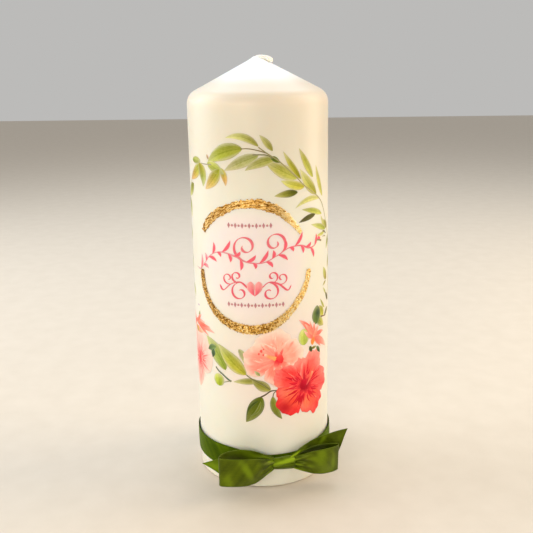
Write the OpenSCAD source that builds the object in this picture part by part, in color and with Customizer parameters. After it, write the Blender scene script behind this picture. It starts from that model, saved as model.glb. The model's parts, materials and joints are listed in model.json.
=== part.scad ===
// Keepsake pillar candle: a pressed wax core in a hard outer coat, with a wick bent over its cone,
// a printed film, two arcs of gold leaf and a satin ribbon tied in a bow round its foot.

/* [Pillar] */
// Diameter of the finished pillar
pillar_d = 75; // [70:1:80]
// Height from the foot to the point of the cone
pillar_h = 231; // [215:1:260]
// Height of the cone on top
cone_h = 19.4; // [17:0.2:22]
// Radius of the rounded shoulder under the cone
shoulder_r = 8; // [3:0.5:10]
// Bevel round the foot
foot_bevel = 1; // [0.5:0.1:1.4]
// Thickness of the hard outer coat
coat_t = 1.6; // [1.5:0.1:2]

/* [Wick] */
// Diameter of the waxed wick
wick_d = 2.7; // [2.4:0.1:3]
// Length of the exposed wick, from its root to the middle of its rounded end
wick_tip_l = 7.4; // [6:0.2:12]
// Fall of the resting wick below level, in degrees
wick_fall = 8.5; // [5:0.5:12]
// Direction in which the wick lies, in degrees round the pillar from +X
wick_turn = -1; // [-30:1:30]

/* [Film and gold leaf] */
// Thickness of the printed film
film_t = 0.1; // [0.06:0.02:0.12]
// Length of the film round the pillar
film_w = 156; // [140:2:200]
// Height of the film
film_h = 174; // [160:2:180]
// Height of the film's lower edge above the foot
film_z = 30; // [26:1:34]
// Radius of the gold circle, measured on the flat film
ring_r = 33.7; // [28:0.1:36]
// Height of the gold circle's centre above the foot
ring_z = 126; // [120:1:130]
// Width of the gold leaf
leaf_w = 4; // [2:0.5:6]

/* [Ribbon] */
// Width of the satin ribbon, flat
ribbon_w = 16; // [14:0.5:17]
// Width of the band where it is tucked round the foot
band_w = 13; // [11:0.5:14]
// Height of the band's lower edge above the foot
band_z = 10; // [9:0.5:14]
// Position of the knot round the pillar, in degrees to the right of the front
knot_turn = 21; // [-45:1:45]

/* [Hidden] */
pillar_r = pillar_d / 2;
cone_angle = atan(cone_h / pillar_r);

pivot_z = pillar_h - 1.1;              // root of the exposed wick, just under the cone's point
wick_gap = 0.25;                       // free space round the exposed wick
socket_r = wick_d / 2 + wick_gap;
stem_top = pivot_z - socket_r - 0.1;
stem_foot = 0.6;                       // the wick is trimmed just above the foot

bond_gap = 0.02;                       // left between layers that are stuck together
film_r = pillar_r + bond_gap;          // inner radius of the film
leaf_t = 0.14;
leaf_r = film_r + film_t + bond_gap;   // inner radius of the gold leaf
leaf_strips = 4;                       // facets across the leaf's width
leaf_step = 2;                         // degrees of the circle for each facet along the leaf
upper_arc = [33, 149];                 // where each arc of leaf starts and ends, from the right
lower_arc = [188, 353];

band_gap = 0.3;                        // between the ribbon and the gold leaf it slides over
band_t = 0.7;
band_r = leaf_r + leaf_t + band_gap;
strip_t = 0.7;                         // thickness of the bow's ribbon
knot_l = 14;
knot_h = 9;
knot_deep = 5;
knot_round = 1.8;
knot_r = band_r + band_t + 0.05 + knot_deep / 2;
knot_z = 17;
pinch_h = 8;                           // the ribbon's width where the knot gathers it
pinch_l = 9;                           // distance over which it opens out again
tail_left_drop = 7;                    // degrees that each tail turns down or up from level
tail_right_rise = 11;
cut_left = 52;                         // degrees of each tail's slanting cut from square
cut_right = 24;
loop_right_lean = 8;

// Routes of the ribbon in plan, from the knot outwards: [along the front, away from the pillar]
loop_left_route = [[-5.5, 0.9], [-12, 3.2], [-21, 5], [-30, 4.2], [-34.7, -0.2],
                   [-30.5, -3.8], [-21, -3.2], [-12, -1.7], [-5.5, -0.5]];
loop_right_route = [[5.5, 0.9], [12, 3.3], [21, 4.9], [28, 4.4], [30.8, 2.2],
                    [28, 0.2], [21, -0.9], [12, -1.1], [5.5, -0.5]];
tail_left_route = [[-5.5, -1.6], [-12, -3], [-21, -6], [-32, -9.6], [-46, -14.6]];
tail_right_route = [[5.5, -1.8], [12, -3.5], [21, -4.4], [32, -4.2], [43, -2.8]];

wax_white = [0.96, 0.94, 0.87];
coat_white = [0.98, 0.97, 0.93];
cotton = [0.95, 0.93, 0.86];
film_tint = [0.98, 0.9, 0.86];
gold = [0.78, 0.58, 0.24];
green = [0.38, 0.52, 0.08];
green_light = [0.5, 0.68, 0.15];

// Half outline of the pillar, drawn "inset" millimetres inside its finished surface
module pillar_outline(inset, bevel) {
    r = pillar_r - inset;
    s = shoulder_r - inset;
    apex = pillar_h - inset / cos(cone_angle);
    mid_z = apex - ((r - s) * sin(cone_angle) + s) / cos(cone_angle);
    polygon([[0, 0], [r - bevel, 0], [r, bevel], [r, mid_z], [r - s, mid_z],
             [r - s + s * sin(cone_angle), mid_z + s * cos(cone_angle)], [0, apex]]);
    translate([r - s, mid_z]) circle(r = s, $fn = 64);
}

// Space for the wick: a bore up the middle
module wick_bore() {
    translate([0, 0, -1]) cylinder(d = wick_d, h = pillar_h + 2, $fn = 48);
}

// Pressed wax core
module wax_core() {
    color(wax_white) difference() {
        rotate_extrude($fn = 128) pillar_outline(coat_t, 0);
        wick_bore();
        wick_run(socket_r, wick_tip_l + 4);
    }
}

// Straight run of the exposed wick, with a radius, from the pivot
module wick_run(r, l) {
    translate([0, 0, pivot_z]) rotate([0, 90 + wick_fall, wick_turn]) {
        sphere(r = r, $fn = 48);
        cylinder(r = r, h = l, $fn = 48);
    }
}

// Hard outer coat, open at the foot, with the print of the wick in its point
module overdip_coat() {
    color(coat_white) difference() {
        rotate_extrude($fn = 128) difference() {
            pillar_outline(0, foot_bevel);
            pillar_outline(coat_t, 0);
        }
        wick_bore();
        wick_run(socket_r, wick_tip_l + 4);
    }
}

// Braided wick inside the pillar
module wick_stem() {
    color(cotton) translate([0, 0, stem_foot])
        cylinder(d = wick_d, h = stem_top - stem_foot, $fn = 48);
}

// Exposed wick, bent over and lying in its print
module wick_tip() {
    color(cotton) {
        wick_run(wick_d / 2, wick_tip_l);
        translate([0, 0, pivot_z]) rotate([0, 90 + wick_fall, wick_turn])
            translate([0, 0, wick_tip_l]) sphere(d = wick_d, $fn = 48);
    }
}

// Printed film, wrapped round the front of the pillar
module decal_film() {
    film_angle = film_w / pillar_r * 180 / PI;
    color(film_tint) rotate([0, 0, -90 - film_angle / 2])
        rotate_extrude(angle = film_angle, $fn = 128)
            translate([film_r, film_z]) square([film_t, film_h]);
}

// A point of the flat film, bent round to radius r
function wrapped(x, z, r) = [r * sin(x / pillar_r * 180 / PI), -r * cos(x / pillar_r * 180 / PI), z];

// One section across the leaf: out along its inner face, and back along its outer face
function leaf_section(turn) = [
    for (side = [0, 1]) for (i = [0:leaf_strips])
        let (across = (side == 0 ? i : leaf_strips - i) / leaf_strips - 0.5,
             r = ring_r + across * leaf_w)
        wrapped(r * cos(turn), ring_z + r * sin(turn), leaf_r + side * leaf_t)
];

// An arc of gold leaf, between two angles of the gold circle
module leaf_arc(from, to) {
    n = ceil((to - from) / leaf_step);
    m = 2 * (leaf_strips + 1);
    points = [for (i = [0:n]) each leaf_section(from + (to - from) * i / n)];
    sides = [for (i = [0:n - 1], j = [0:m - 1]) let (a = i * m + j, b = i * m + (j + 1) % m)
             each [[a, a + m, b], [b, a + m, b + m]]];
    ends = [for (k = [0:leaf_strips - 1]) each [
                [k, k + 1, m - 2 - k], [k, m - 2 - k, m - 1 - k]]];
    last = [for (f = ends) [f[0] + n * m, f[2] + n * m, f[1] + n * m]];
    polyhedron(points, concat(sides, ends, last));
}

module gold_leaf_upper() {
    color(gold) leaf_arc(upper_arc[0], upper_arc[1]);
}

module gold_leaf_lower() {
    color(gold) leaf_arc(lower_arc[0], lower_arc[1]);
}

// Ribbon round the foot
module ribbon_band() {
    color(green) rotate_extrude($fn = 128)
        translate([band_r, band_z]) square([band_t, band_w]);
}

// Places its children in the knot's frame: x to the right, -y away from the pillar
module at_knot() {
    rotate([0, 0, knot_turn]) translate([0, -knot_r, knot_z]) children();
}

// Smooth curve through a route's points, "steps" to a stretch
function spline_point(a, b, c, d, t) =
    0.5 * (2 * b + (c - a) * t + (2 * a - 5 * b + 4 * c - d) * t * t
           + (3 * b - a - 3 * c + d) * t * t * t);
function smooth(route, steps = 6) = let (n = len(route)) [
    for (i = [0:n - 2], s = [0:steps - (i < n - 2 ? 1 : 0)])
        spline_point(route[max(i - 1, 0)], route[i], route[i + 1], route[min(i + 2, n - 1)], s / steps)
];

// The curve moved sideways by d
function beside(path, d) = let (n = len(path)) [
    for (i = [0:n - 1])
        let (run = path[min(i + 1, n - 1)] - path[max(i - 1, 0)])
        path[i] + d / norm(run) * [-run[1], run[0]]
];
function reversed(list) = [for (i = [len(list) - 1:-1:0]) list[i]];

// Upright strip of ribbon along a route given as [right, away from the pillar]
module strip(route) {
    path = smooth([for (p = route) [p[0], -p[1]]]);
    translate([0, 0, -ribbon_w / 2]) linear_extrude(ribbon_w)
        polygon(concat(beside(path, strip_t / 2), reversed(beside(path, -strip_t / 2))));
}

// Side view that narrows a strip to the knot; "side" is -1 to the left and 1 to the right
module pinched(side, l, cut = 0) {
    shift = ribbon_w / 2 * tan(cut);
    rotate([90, 0, 0]) linear_extrude(60, center = true)
        polygon([[0, -pinch_h / 2], [side * 5, -pinch_h / 2], [side * (5 + pinch_l), -ribbon_w / 2],
                 [side * (l - shift), -ribbon_w / 2], [side * (l + shift), ribbon_w / 2],
                 [side * (5 + pinch_l), ribbon_w / 2], [side * 5, pinch_h / 2], [0, pinch_h / 2]]);
}

module bow_knot() {
    x = knot_l / 2 - knot_round;
    y = knot_deep / 2 - knot_round;
    z = knot_h / 2 - knot_round;
    color(green_light) at_knot() hull()
        for (i = [-x, x], j = [-y, y], k = [-z, z])
            translate([i, j, k]) sphere(r = knot_round, $fn = 24);
}

module bow_loop_left() {
    color(green) at_knot() intersection() {
        strip(loop_left_route);
        pinched(-1, 40);
    }
}

module bow_loop_right() {
    color(green) at_knot() rotate([loop_right_lean, 0, 0]) intersection() {
        strip(loop_right_route);
        pinched(1, 40);
    }
}

module bow_tail_left() {
    color(green_light) at_knot() rotate([0, -tail_left_drop, 0]) intersection() {
        strip(tail_left_route);
        pinched(-1, 32, cut_left);
    }
}

module bow_tail_right() {
    color(green) at_knot() rotate([0, -tail_right_rise, 0]) intersection() {
        strip(tail_right_route);
        pinched(1, 37, cut_right);
    }
}

wax_core();
overdip_coat();
wick_stem();
wick_tip();
decal_film();
gold_leaf_upper();
gold_leaf_lower();
ribbon_band();
bow_knot();
bow_loop_left();
bow_loop_right();
bow_tail_left();
bow_tail_right();
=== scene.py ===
import json
import math

import bpy
import numpy as np
from mathutils import Matrix, Vector


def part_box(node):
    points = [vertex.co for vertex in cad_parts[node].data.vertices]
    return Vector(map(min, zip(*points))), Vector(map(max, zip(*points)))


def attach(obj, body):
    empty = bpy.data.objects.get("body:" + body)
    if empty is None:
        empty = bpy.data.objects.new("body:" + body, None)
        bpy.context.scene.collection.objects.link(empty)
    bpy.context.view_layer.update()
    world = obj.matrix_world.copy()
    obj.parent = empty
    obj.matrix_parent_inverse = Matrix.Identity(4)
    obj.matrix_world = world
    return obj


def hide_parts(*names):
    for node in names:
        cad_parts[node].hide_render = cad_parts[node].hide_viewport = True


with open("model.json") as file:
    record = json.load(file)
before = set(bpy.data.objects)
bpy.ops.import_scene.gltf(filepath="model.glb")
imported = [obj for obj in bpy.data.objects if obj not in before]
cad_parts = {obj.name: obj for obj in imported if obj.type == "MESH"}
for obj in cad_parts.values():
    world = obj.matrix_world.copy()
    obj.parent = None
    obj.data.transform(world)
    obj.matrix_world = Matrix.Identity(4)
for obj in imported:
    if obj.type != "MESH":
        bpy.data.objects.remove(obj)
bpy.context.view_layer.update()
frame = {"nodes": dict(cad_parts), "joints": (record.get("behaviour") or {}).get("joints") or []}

# ---------------------------------------------------------------- sizes, in metres
MM = 0.001
coat_low, coat_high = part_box("overdip_coat")
band_low, band_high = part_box("ribbon_band")
wick_low, wick_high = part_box("wick_tip")
wick_joint = next(j for j in frame["joints"] if j["name"] == "wick_bend")
R = coat_high.x                                  # radius of the pillar
PIVOT = Vector(wick_joint["pos_m"])              # root of the exposed wick
CONE_H = 19.4 * MM
CONE_TOP = PIVOT.z + 1.1 * MM
CONE_ANGLE = math.atan2(CONE_H, R)
SHOULDER_R = 8 * MM
SHOULDER_IN = R - SHOULDER_R                     # middle of the shoulder's curve, from the axis
SHOULDER_Z = CONE_TOP - (SHOULDER_IN * math.sin(CONE_ANGLE) + SHOULDER_R) / math.cos(CONE_ANGLE)
WICK_R = (wick_high.y - wick_low.y) / 2 - 0.07 * MM
RING_R = 33.7 * MM                               # gold circle, on the flat film
RING_Z = 126 * MM
BLOOM_X = 16 * MM                                # middle of the flowers' rosy stain in the wax
BLOOM_Z = 72 * MM


def rng(seed):
    return np.random.default_rng(seed)


# ---------------------------------------------------------------- mesh helpers
def new_object(name, verts, faces, material, smooth=True):
    mesh = bpy.data.meshes.new(name)
    mesh.from_pydata([tuple(v) for v in verts], [], faces)
    mesh.update()
    mesh.polygons.foreach_set("use_smooth", [smooth] * len(mesh.polygons))
    obj = bpy.data.objects.new(name, mesh)
    bpy.context.scene.collection.objects.link(obj)
    mesh.materials.append(material)
    return obj


def colour_layer(obj, name, values):
    """Stores a colour, or any three numbers, at each vertex."""
    layer = obj.data.color_attributes.new(name, "FLOAT_COLOR", "POINT")
    data = np.ones((len(values), 4), np.float32)
    data[:, :3] = values
    layer.data.foreach_set("color", data.ravel())


def slab(outer, inner):
    """Closed mesh between two grids of points with the same shape. Returns its vertices and faces."""
    n, m = outer.shape[:2]
    verts = np.concatenate([outer.reshape(-1, 3), inner.reshape(-1, 3)])
    half = n * m
    faces = []
    for i in range(n - 1):
        for j in range(m - 1):
            a = i * m + j
            faces.append((a, a + m, a + m + 1, a + 1))
            faces.append((a + half, a + half + 1, a + half + m + 1, a + half + m))
    rim = list(range(m))
    rim += [i * m + m - 1 for i in range(1, n)]
    rim += [(n - 1) * m + j for j in range(m - 2, -1, -1)]
    rim += [i * m for i in range(n - 2, 0, -1)]
    for k, a in enumerate(rim):
        b = rim[(k + 1) % len(rim)]
        faces.append((a, b, b + half, a + half))
    return verts, faces


def grid_normals(points):
    """Unit normals of a grid of points."""
    du = np.gradient(points, axis=0)
    dv = np.gradient(points, axis=1)
    n = np.cross(du, dv)
    return n / np.maximum(np.linalg.norm(n, axis=2, keepdims=True), 1e-12)


def smooth_curve(points, count):
    """Catmull-Rom curve through points, resampled to count points at even steps of length."""
    p = np.array(points, float)
    ends = np.vstack([2 * p[0] - p[1], p, 2 * p[-1] - p[-2]])
    out = []
    for i in range(len(p) - 1):
        a, b, c, d = ends[i:i + 4]
        for t in np.linspace(0, 1, 24, endpoint=i == len(p) - 2):
            out.append(0.5 * (2 * b + (c - a) * t + (2 * a - 5 * b + 4 * c - d) * t ** 2
                              + (3 * b - a - 3 * c + d) * t ** 3))
    out = np.array(out)
    length = np.r_[0, np.cumsum(np.linalg.norm(np.diff(out, axis=0), axis=1))]
    at = np.linspace(0, length[-1], count)
    return np.stack([np.interp(at, length, out[:, k]) for k in range(p.shape[1])], 1)


def ease(x, low, high):
    """Smooth step from 0 at low to 1 at high."""
    t = np.clip((np.asarray(x, float) - low) / (high - low), 0, 1)
    return t * t * (3 - 2 * t)


def hump(x, wide):
    """Bell curve, 1 where x is 0."""
    return np.exp(-(x / wide) ** 2)


def even_out(values, times):
    """Evens out a row of values in place, and leaves its two ends alone."""
    for _ in range(times):
        values[1:-1] = (values[:-2] + 2 * values[1:-1] + values[2:]) / 4


def headings(path):
    """Unit vectors along a flat path and to the left of it, at each of its points."""
    run = np.gradient(path, axis=0)
    run /= np.maximum(np.linalg.norm(run, axis=1, keepdims=True), 1e-9)
    return run, np.stack([-run[:, 1], run[:, 0]], 1)


def polar(centre, angle, reach):
    """The point at an angle and a distance from a centre."""
    return (centre[0] + reach * math.cos(angle), centre[1] + reach * math.sin(angle))


# ---------------------------------------------------------------- material helpers
class Nodes:
    """Builds a material's node tree with short calls."""

    def __init__(self, name):
        self.mat = bpy.data.materials.new(name)
        self.mat.use_nodes = True
        self.tree = self.mat.node_tree
        self.bsdf = self.tree.nodes["Principled BSDF"]

    def node(self, kind, **settings):
        n = self.tree.nodes.new(kind)
        for key, value in settings.items():
            setattr(n, key, value)
        return n

    def put(self, socket, value):
        if isinstance(value, bpy.types.NodeSocket):
            self.tree.links.new(value, socket)
        elif value is not None:
            if socket.type == "RGBA" and len(value) == 3:
                value = (*value, 1.0)
            socket.default_value = value

    def set(self, **inputs):
        for key, value in inputs.items():
            self.put(self.bsdf.inputs[key.replace("_", " ")], value)

    def coords(self, scale=(1, 1, 1)):
        tex = self.node("ShaderNodeTexCoord")
        mapping = self.node("ShaderNodeMapping")
        self.put(mapping.inputs["Vector"], tex.outputs["Object"])
        mapping.inputs["Scale"].default_value = scale
        return mapping.outputs["Vector"]

    def noise(self, scale, detail=3.0, rough=0.5, vector=None, distortion=0.0):
        n = self.node("ShaderNodeTexNoise")
        self.put(n.inputs["Vector"], vector or self.coords())
        n.inputs["Scale"].default_value = scale
        n.inputs["Detail"].default_value = detail
        n.inputs["Roughness"].default_value = rough
        n.inputs["Distortion"].default_value = distortion
        return n.outputs["Fac"]

    def cells(self, scale, output="Distance"):
        n = self.node("ShaderNodeTexVoronoi")
        self.put(n.inputs["Vector"], self.coords())
        n.inputs["Scale"].default_value = scale
        return n.outputs[output]

    def wave(self, scale, vector, distortion, direction):
        n = self.node("ShaderNodeTexWave", bands_direction=direction)
        self.put(n.inputs["Vector"], vector)
        n.inputs["Scale"].default_value = scale
        n.inputs["Distortion"].default_value = distortion
        return n.outputs["Fac"]

    def ramp(self, value, stops):
        n = self.node("ShaderNodeValToRGB")
        self.put(n.inputs["Fac"], value)
        ramp = n.color_ramp
        while len(ramp.elements) < len(stops):
            ramp.elements.new(0.5)
        for element, (at, colour) in zip(ramp.elements, stops):
            element.position = at
            element.color = (*colour, 1.0)
        return n.outputs["Color"]

    def math(self, operation, a, b=None, c=None):
        n = self.node("ShaderNodeMath", operation=operation)
        for socket, value in zip(n.inputs, (a, b, c)):
            self.put(socket, value)
        return n.outputs[0]

    def times(self, a, b):
        return self.math("MULTIPLY", a, b)

    def plus(self, a, b):
        return self.math("ADD", a, b)

    def minus(self, a, b):
        return self.math("SUBTRACT", a, b)

    def distance(self, a, b):
        return self.math("SQRT", self.plus(self.math("POWER", a, 2.0), self.math("POWER", b, 2.0)))

    def join(self, x, y, z=0.0):
        n = self.node("ShaderNodeCombineXYZ")
        for socket, value in zip(n.inputs, (x, y, z)):
            self.put(socket, value)
        return n.outputs[0]

    def span(self, value, low, high, to_low=0.0, to_high=1.0):
        n = self.node("ShaderNodeMapRange", interpolation_type="SMOOTHSTEP")
        for key, v in (("Value", value), ("From Min", low), ("From Max", high),
                       ("To Min", to_low), ("To Max", to_high)):
            self.put(n.inputs[key], v)
        return n.outputs["Result"]

    def mix(self, factor, a, b, mode="MIX"):
        n = self.node("ShaderNodeMix", data_type="RGBA", blend_type=mode)
        self.put(n.inputs[0], factor)
        self.put(n.inputs[6], a)
        self.put(n.inputs[7], b)
        return n.outputs[2]

    def attribute(self, name, output="Color"):
        n = self.node("ShaderNodeAttribute", attribute_name=name)
        return n.outputs[output]

    def split(self, vector):
        n = self.node("ShaderNodeSeparateXYZ")
        self.put(n.inputs[0], vector)
        return n.outputs

    def bump(self, height, distance, strength=1.0, after=None):
        n = self.node("ShaderNodeBump")
        self.put(n.inputs["Height"], height)
        n.inputs["Distance"].default_value = distance
        n.inputs["Strength"].default_value = strength
        if after is not None:
            self.put(n.inputs["Normal"], after)
        return n.outputs["Normal"]


# ---------------------------------------------------------------- camera, floor and light
CAMERA_OUT = 413.3 * MM                          # from the pillar's axis
CAMERA_UP = 225.7 * MM
CAMERA_ROUND = math.radians(6.9)                 # to the right of the front
CAMERA_YAW = math.radians(0.44)
CAMERA_PITCH = math.radians(14.81)
CAMERA_ROLL = math.radians(1.07)
CAMERA_LENS = 51.3


def make_camera():
    data = bpy.data.cameras.new("camera")
    data.lens = CAMERA_LENS
    data.sensor_width = 36
    data.clip_start = 0.01
    cam = bpy.data.objects.new("camera", data)
    turn = (Matrix.Rotation(CAMERA_ROUND - CAMERA_YAW, 4, "Z")
            @ Matrix.Rotation(math.pi / 2 - CAMERA_PITCH, 4, "X")
            @ Matrix.Rotation(-CAMERA_ROLL, 4, "Z"))
    place = Vector((CAMERA_OUT * math.sin(CAMERA_ROUND), -CAMERA_OUT * math.cos(CAMERA_ROUND), CAMERA_UP))
    cam.matrix_world = Matrix.Translation(place) @ turn
    bpy.context.scene.collection.objects.link(cam)
    bpy.context.scene.camera = cam


def floor_material():
    m = Nodes("studio_floor")
    grain = m.noise(60, 5)
    m.set(Base_Color=m.ramp(grain, [(0.3, (0.67, 0.60, 0.51)), (0.7, (0.70, 0.63, 0.54))]), Roughness=0.85)
    m.set(Normal=m.bump(m.noise(900, 3), 0.0002, 0.3))
    return m.mat


def make_floor():
    size = 3.0
    verts = [(-size, -size, 0), (size, -size, 0), (size, size, 0), (-size, size, 0)]
    floor = new_object("studio_floor", verts, [(0, 1, 2, 3)], floor_material(), smooth=False)
    floor.location.z = -0.0002


def area_light(name, place, target, size, power, colour):
    data = bpy.data.lights.new(name, "AREA")
    data.shape = "RECTANGLE"
    data.size, data.size_y = size
    data.energy = power
    data.color = colour
    light = bpy.data.objects.new(name, data)
    light.location = place
    aim = Vector(target) - Vector(place)
    light.rotation_euler = aim.to_track_quat("-Z", "Y").to_euler()
    bpy.context.scene.collection.objects.link(light)


def make_light():
    world = bpy.data.worlds.new("studio")
    world.use_nodes = True
    back = world.node_tree.nodes["Background"]
    back.inputs["Color"].default_value = (0.93, 0.92, 0.90, 1)
    back.inputs["Strength"].default_value = 0.54
    bpy.context.scene.world = world
    middle = (0, 0, 0.11)
    area_light("key_left", (-0.85, 0.10, 0.55), middle, (0.6, 0.9), 5.0, (0.97, 0.98, 1.0))
    area_light("side_right", (0.85, 0.20, 0.45), middle, (0.5, 0.9), 6.6, (1.0, 0.83, 0.61))
    area_light("sky_top", (0.0, 0.55, 1.05), (0, 0, 0.15), (1.0, 0.8), 5.4, (0.78, 0.90, 1.0))
    area_light("front_fill", (-0.25, -1.1, 0.42), middle, (0.7, 0.5), 6.3, (1.0, 0.91, 0.74))
    bpy.context.scene.view_settings.view_transform = "Standard"


# ---------------------------------------------------------------- pillar
def wax_material():
    """Ivory overdip wax: cloudy depth, a soft sheen, faint ripples and scuffs, and rosy stains; with painted
    shade towards the top and the right, and a painted bluish-white highlight at the cone's point.
    """
    m = Nodes("coat_wax")
    x, y, z = m.split(m.coords())
    angle = m.math("ARCTAN2", x, m.times(y, -1.0))
    across = m.times(angle, R)
    up = m.minus(z, RING_Z)
    far = m.distance(across, up)
    cloud = m.noise(38, 4, 0.55)
    tone = m.ramp(cloud, [(0.30, (0.850, 0.790, 0.665)), (0.70, (0.885, 0.835, 0.725))])
    # painted shade: the wax is darkened to beige towards the top and towards the right, where its front
    # faces away from the light
    to_right = m.span(x, -29.5 * MM, -4 * MM, 0.45, 1.0)
    shade = m.times(m.span(z, 145 * MM, 195 * MM, 0.12, 0.92), to_right)
    tone = m.mix(shade, tone, (0.755, 0.660, 0.540))
    # painted highlight: near its point the cone turns bluish white, as if lit by the sky
    tone = m.mix(m.span(z, CONE_TOP - 15 * MM, CONE_TOP - 8 * MM), tone, (0.93, 0.95, 0.97))
    patchy = m.span(cloud, 0.2, 0.8, 0.7, 1.0)
    wash = m.times(m.span(far, RING_R * 1.08, RING_R * 0.62, 0.0, 0.92), patchy)
    tone = m.mix(wash, tone, (0.99, 0.785, 0.775))
    off_bloom = m.distance(m.minus(across, BLOOM_X), m.minus(z, BLOOM_Z))
    bloom = m.span(off_bloom, 50 * MM, 14 * MM, 0.0, 0.86)
    tone = m.mix(bloom, tone, (0.97, 0.74, 0.66))
    foot = m.span(z, 0.0, 0.006, 0.35, 0.0)
    tone = m.mix(foot, tone, (0.80, 0.73, 0.60))
    scuff = m.span(m.noise(240, 6, 0.7), 0.62, 0.75, 0.0, 0.12)
    m.set(Base_Color=tone, Roughness=m.plus(scuff, m.span(cloud, 0.3, 0.7, 0.34, 0.44)),
          Subsurface_Weight=0.35, Subsurface_Scale=0.006, Subsurface_Radius=(1.0, 0.62, 0.38),
          Coat_Weight=0.12, Coat_Roughness=0.22, IOR=1.44)
    ripple = m.bump(m.noise(55, 3, 0.4), 0.0004, 0.35)
    m.set(Normal=m.bump(m.noise(1300, 4), 0.00003, 0.35, after=ripple))
    return m.mat


def core_material():
    """Pressed wax grains, seen only under the foot."""
    m = Nodes("core_wax")
    grain = m.cells(620)
    tone = m.ramp(grain, [(0.0, (0.90, 0.86, 0.76)), (0.6, (0.80, 0.74, 0.62))])
    m.set(Base_Color=tone, Roughness=0.6, Subsurface_Weight=0.3, Subsurface_Scale=0.004)
    m.set(Normal=m.bump(grain, 0.0003, 0.5))
    return m.mat


def cotton_material(name):
    """Cotton braid soaked in wax."""
    m = Nodes(name)
    thread = m.wave(380, m.coords((1, 1, 0.7)), 2.5, "DIAGONAL")
    tone = m.ramp(thread, [(0.0, (0.90, 0.86, 0.76)), (1.0, (0.955, 0.94, 0.89))])
    m.set(Base_Color=tone, Roughness=m.span(m.noise(500, 3), 0.3, 0.7, 0.32, 0.5),
          Subsurface_Weight=0.25, Subsurface_Scale=0.002, Coat_Weight=0.2, Coat_Roughness=0.3)
    m.set(Normal=m.bump(thread, 0.00003, 0.15))
    return m.mat


def cone_height(r):
    """Height of the finished outline over the shoulder and the cone, at a distance r from the axis."""
    flat = CONE_TOP - r * math.tan(CONE_ANGLE)
    round_from = SHOULDER_IN + SHOULDER_R * math.sin(CONE_ANGLE)
    curved = SHOULDER_Z + np.sqrt(np.maximum(SHOULDER_R ** 2 - np.maximum(r - SHOULDER_IN, 0) ** 2, 0))
    return np.where(r > round_from, curved, flat)


def wick_frame():
    """The exposed wick's direction along its run, across it and up from it."""
    axis = Vector(wick_joint["axis"]).normalized()
    level = Vector((-axis.y, axis.x, 0)).normalized()
    fall = math.radians(8.5)
    run = (level * math.cos(fall) - Vector((0, 0, math.sin(fall)))).normalized()
    side = Vector((0, 0, 1)).cross(run).normalized()
    return run, side, run.cross(side)


def make_coat():
    """The overdipped skin: one lathed shell, with the wick's print and a collar of wax at its point."""
    turns = 288
    top_r = np.r_[np.linspace(1.6, 12, 66)[:-1], np.linspace(12, 32, 26)[:-1]] * MM
    curve = np.linspace(CONE_ANGLE, math.pi / 2, 15)[:-1]
    shoulder = [SHOULDER_IN + SHOULDER_R * math.sin(a) for a in curve]
    outline = [(r, float(cone_height(r))) for r in (*top_r, *shoulder)]
    outline += [(R, z) for z in np.linspace(SHOULDER_Z, 1.6 * MM, 110)]
    outline += [(R - 1.0 * MM * (1 - math.cos(a)), 1.0 * MM * (1 - math.sin(a)))
                for a in np.linspace(0, math.pi / 2, 7)]
    inner_r = 35.9 * MM
    outline += [(inner_r, 0.0), (inner_r, 30 * MM), (inner_r, SHOULDER_Z - 2 * MM), (1.4 * MM, 228.4 * MM)]
    outline += [(1.45 * MM, 229.2 * MM)]
    outline = np.array(outline)
    theta = np.linspace(0, 2 * math.pi, turns, endpoint=False)
    n = len(outline)
    r = outline[:, 0][:, None] * np.ones(turns)
    z = outline[:, 1][:, None] * np.ones(turns)
    x, y = r * np.cos(theta), r * np.sin(theta)
    outer = np.arange(n) < len(top_r) + len(shoulder)
    run, side, up = wick_frame()
    rel = np.stack([x - PIVOT.x, y - PIVOT.y, z - PIVOT.z], -1)
    along = rel @ np.array(run)
    across = rel @ np.array(side)
    collar = 0.42 * MM * np.exp(-(np.maximum(r / MM - 1.6, 0) / 1.5) ** 1.4)
    collar = collar * (1 - ease(along, 0.2 * MM, 1.6 * MM))
    lip = 0.12 * MM * hump(np.abs(across) - 2.0 * MM, 0.9 * MM)
    lip = lip * ease(along, -0.5 * MM, 1.0 * MM) * (1 - ease(along, 4.0 * MM, 7.5 * MM))
    drips = 0.05 * MM * np.sin(5 * theta + 1.3) * ease(r, 4 * MM, 20 * MM) * (1 - ease(r, 28 * MM, 34 * MM))
    z = np.where(outer[:, None], z + collar + lip + drips, z)
    bed_r = WICK_R + 0.14 * MM
    bed = PIVOT.z + (along * run.z) - np.sqrt(np.maximum(bed_r ** 2 - across ** 2, 0)) / up.z
    in_bed = outer[:, None] & (np.abs(across) < bed_r) & (along > -0.3 * MM) & (r > 1.45 * MM)
    z = np.where(in_bed, np.minimum(z, bed), z)
    verts = np.stack([x, y, z], -1).reshape(-1, 3)
    faces = []
    for i in range(n):
        i2 = (i + 1) % n
        for j in range(turns):
            j2 = (j + 1) % turns
            faces.append((i * turns + j, i2 * turns + j, i2 * turns + j2, i * turns + j2))
    coat = new_object("pillar_coat", verts, faces, wax_material())
    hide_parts("overdip_coat")
    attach(coat, "candle")


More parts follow.
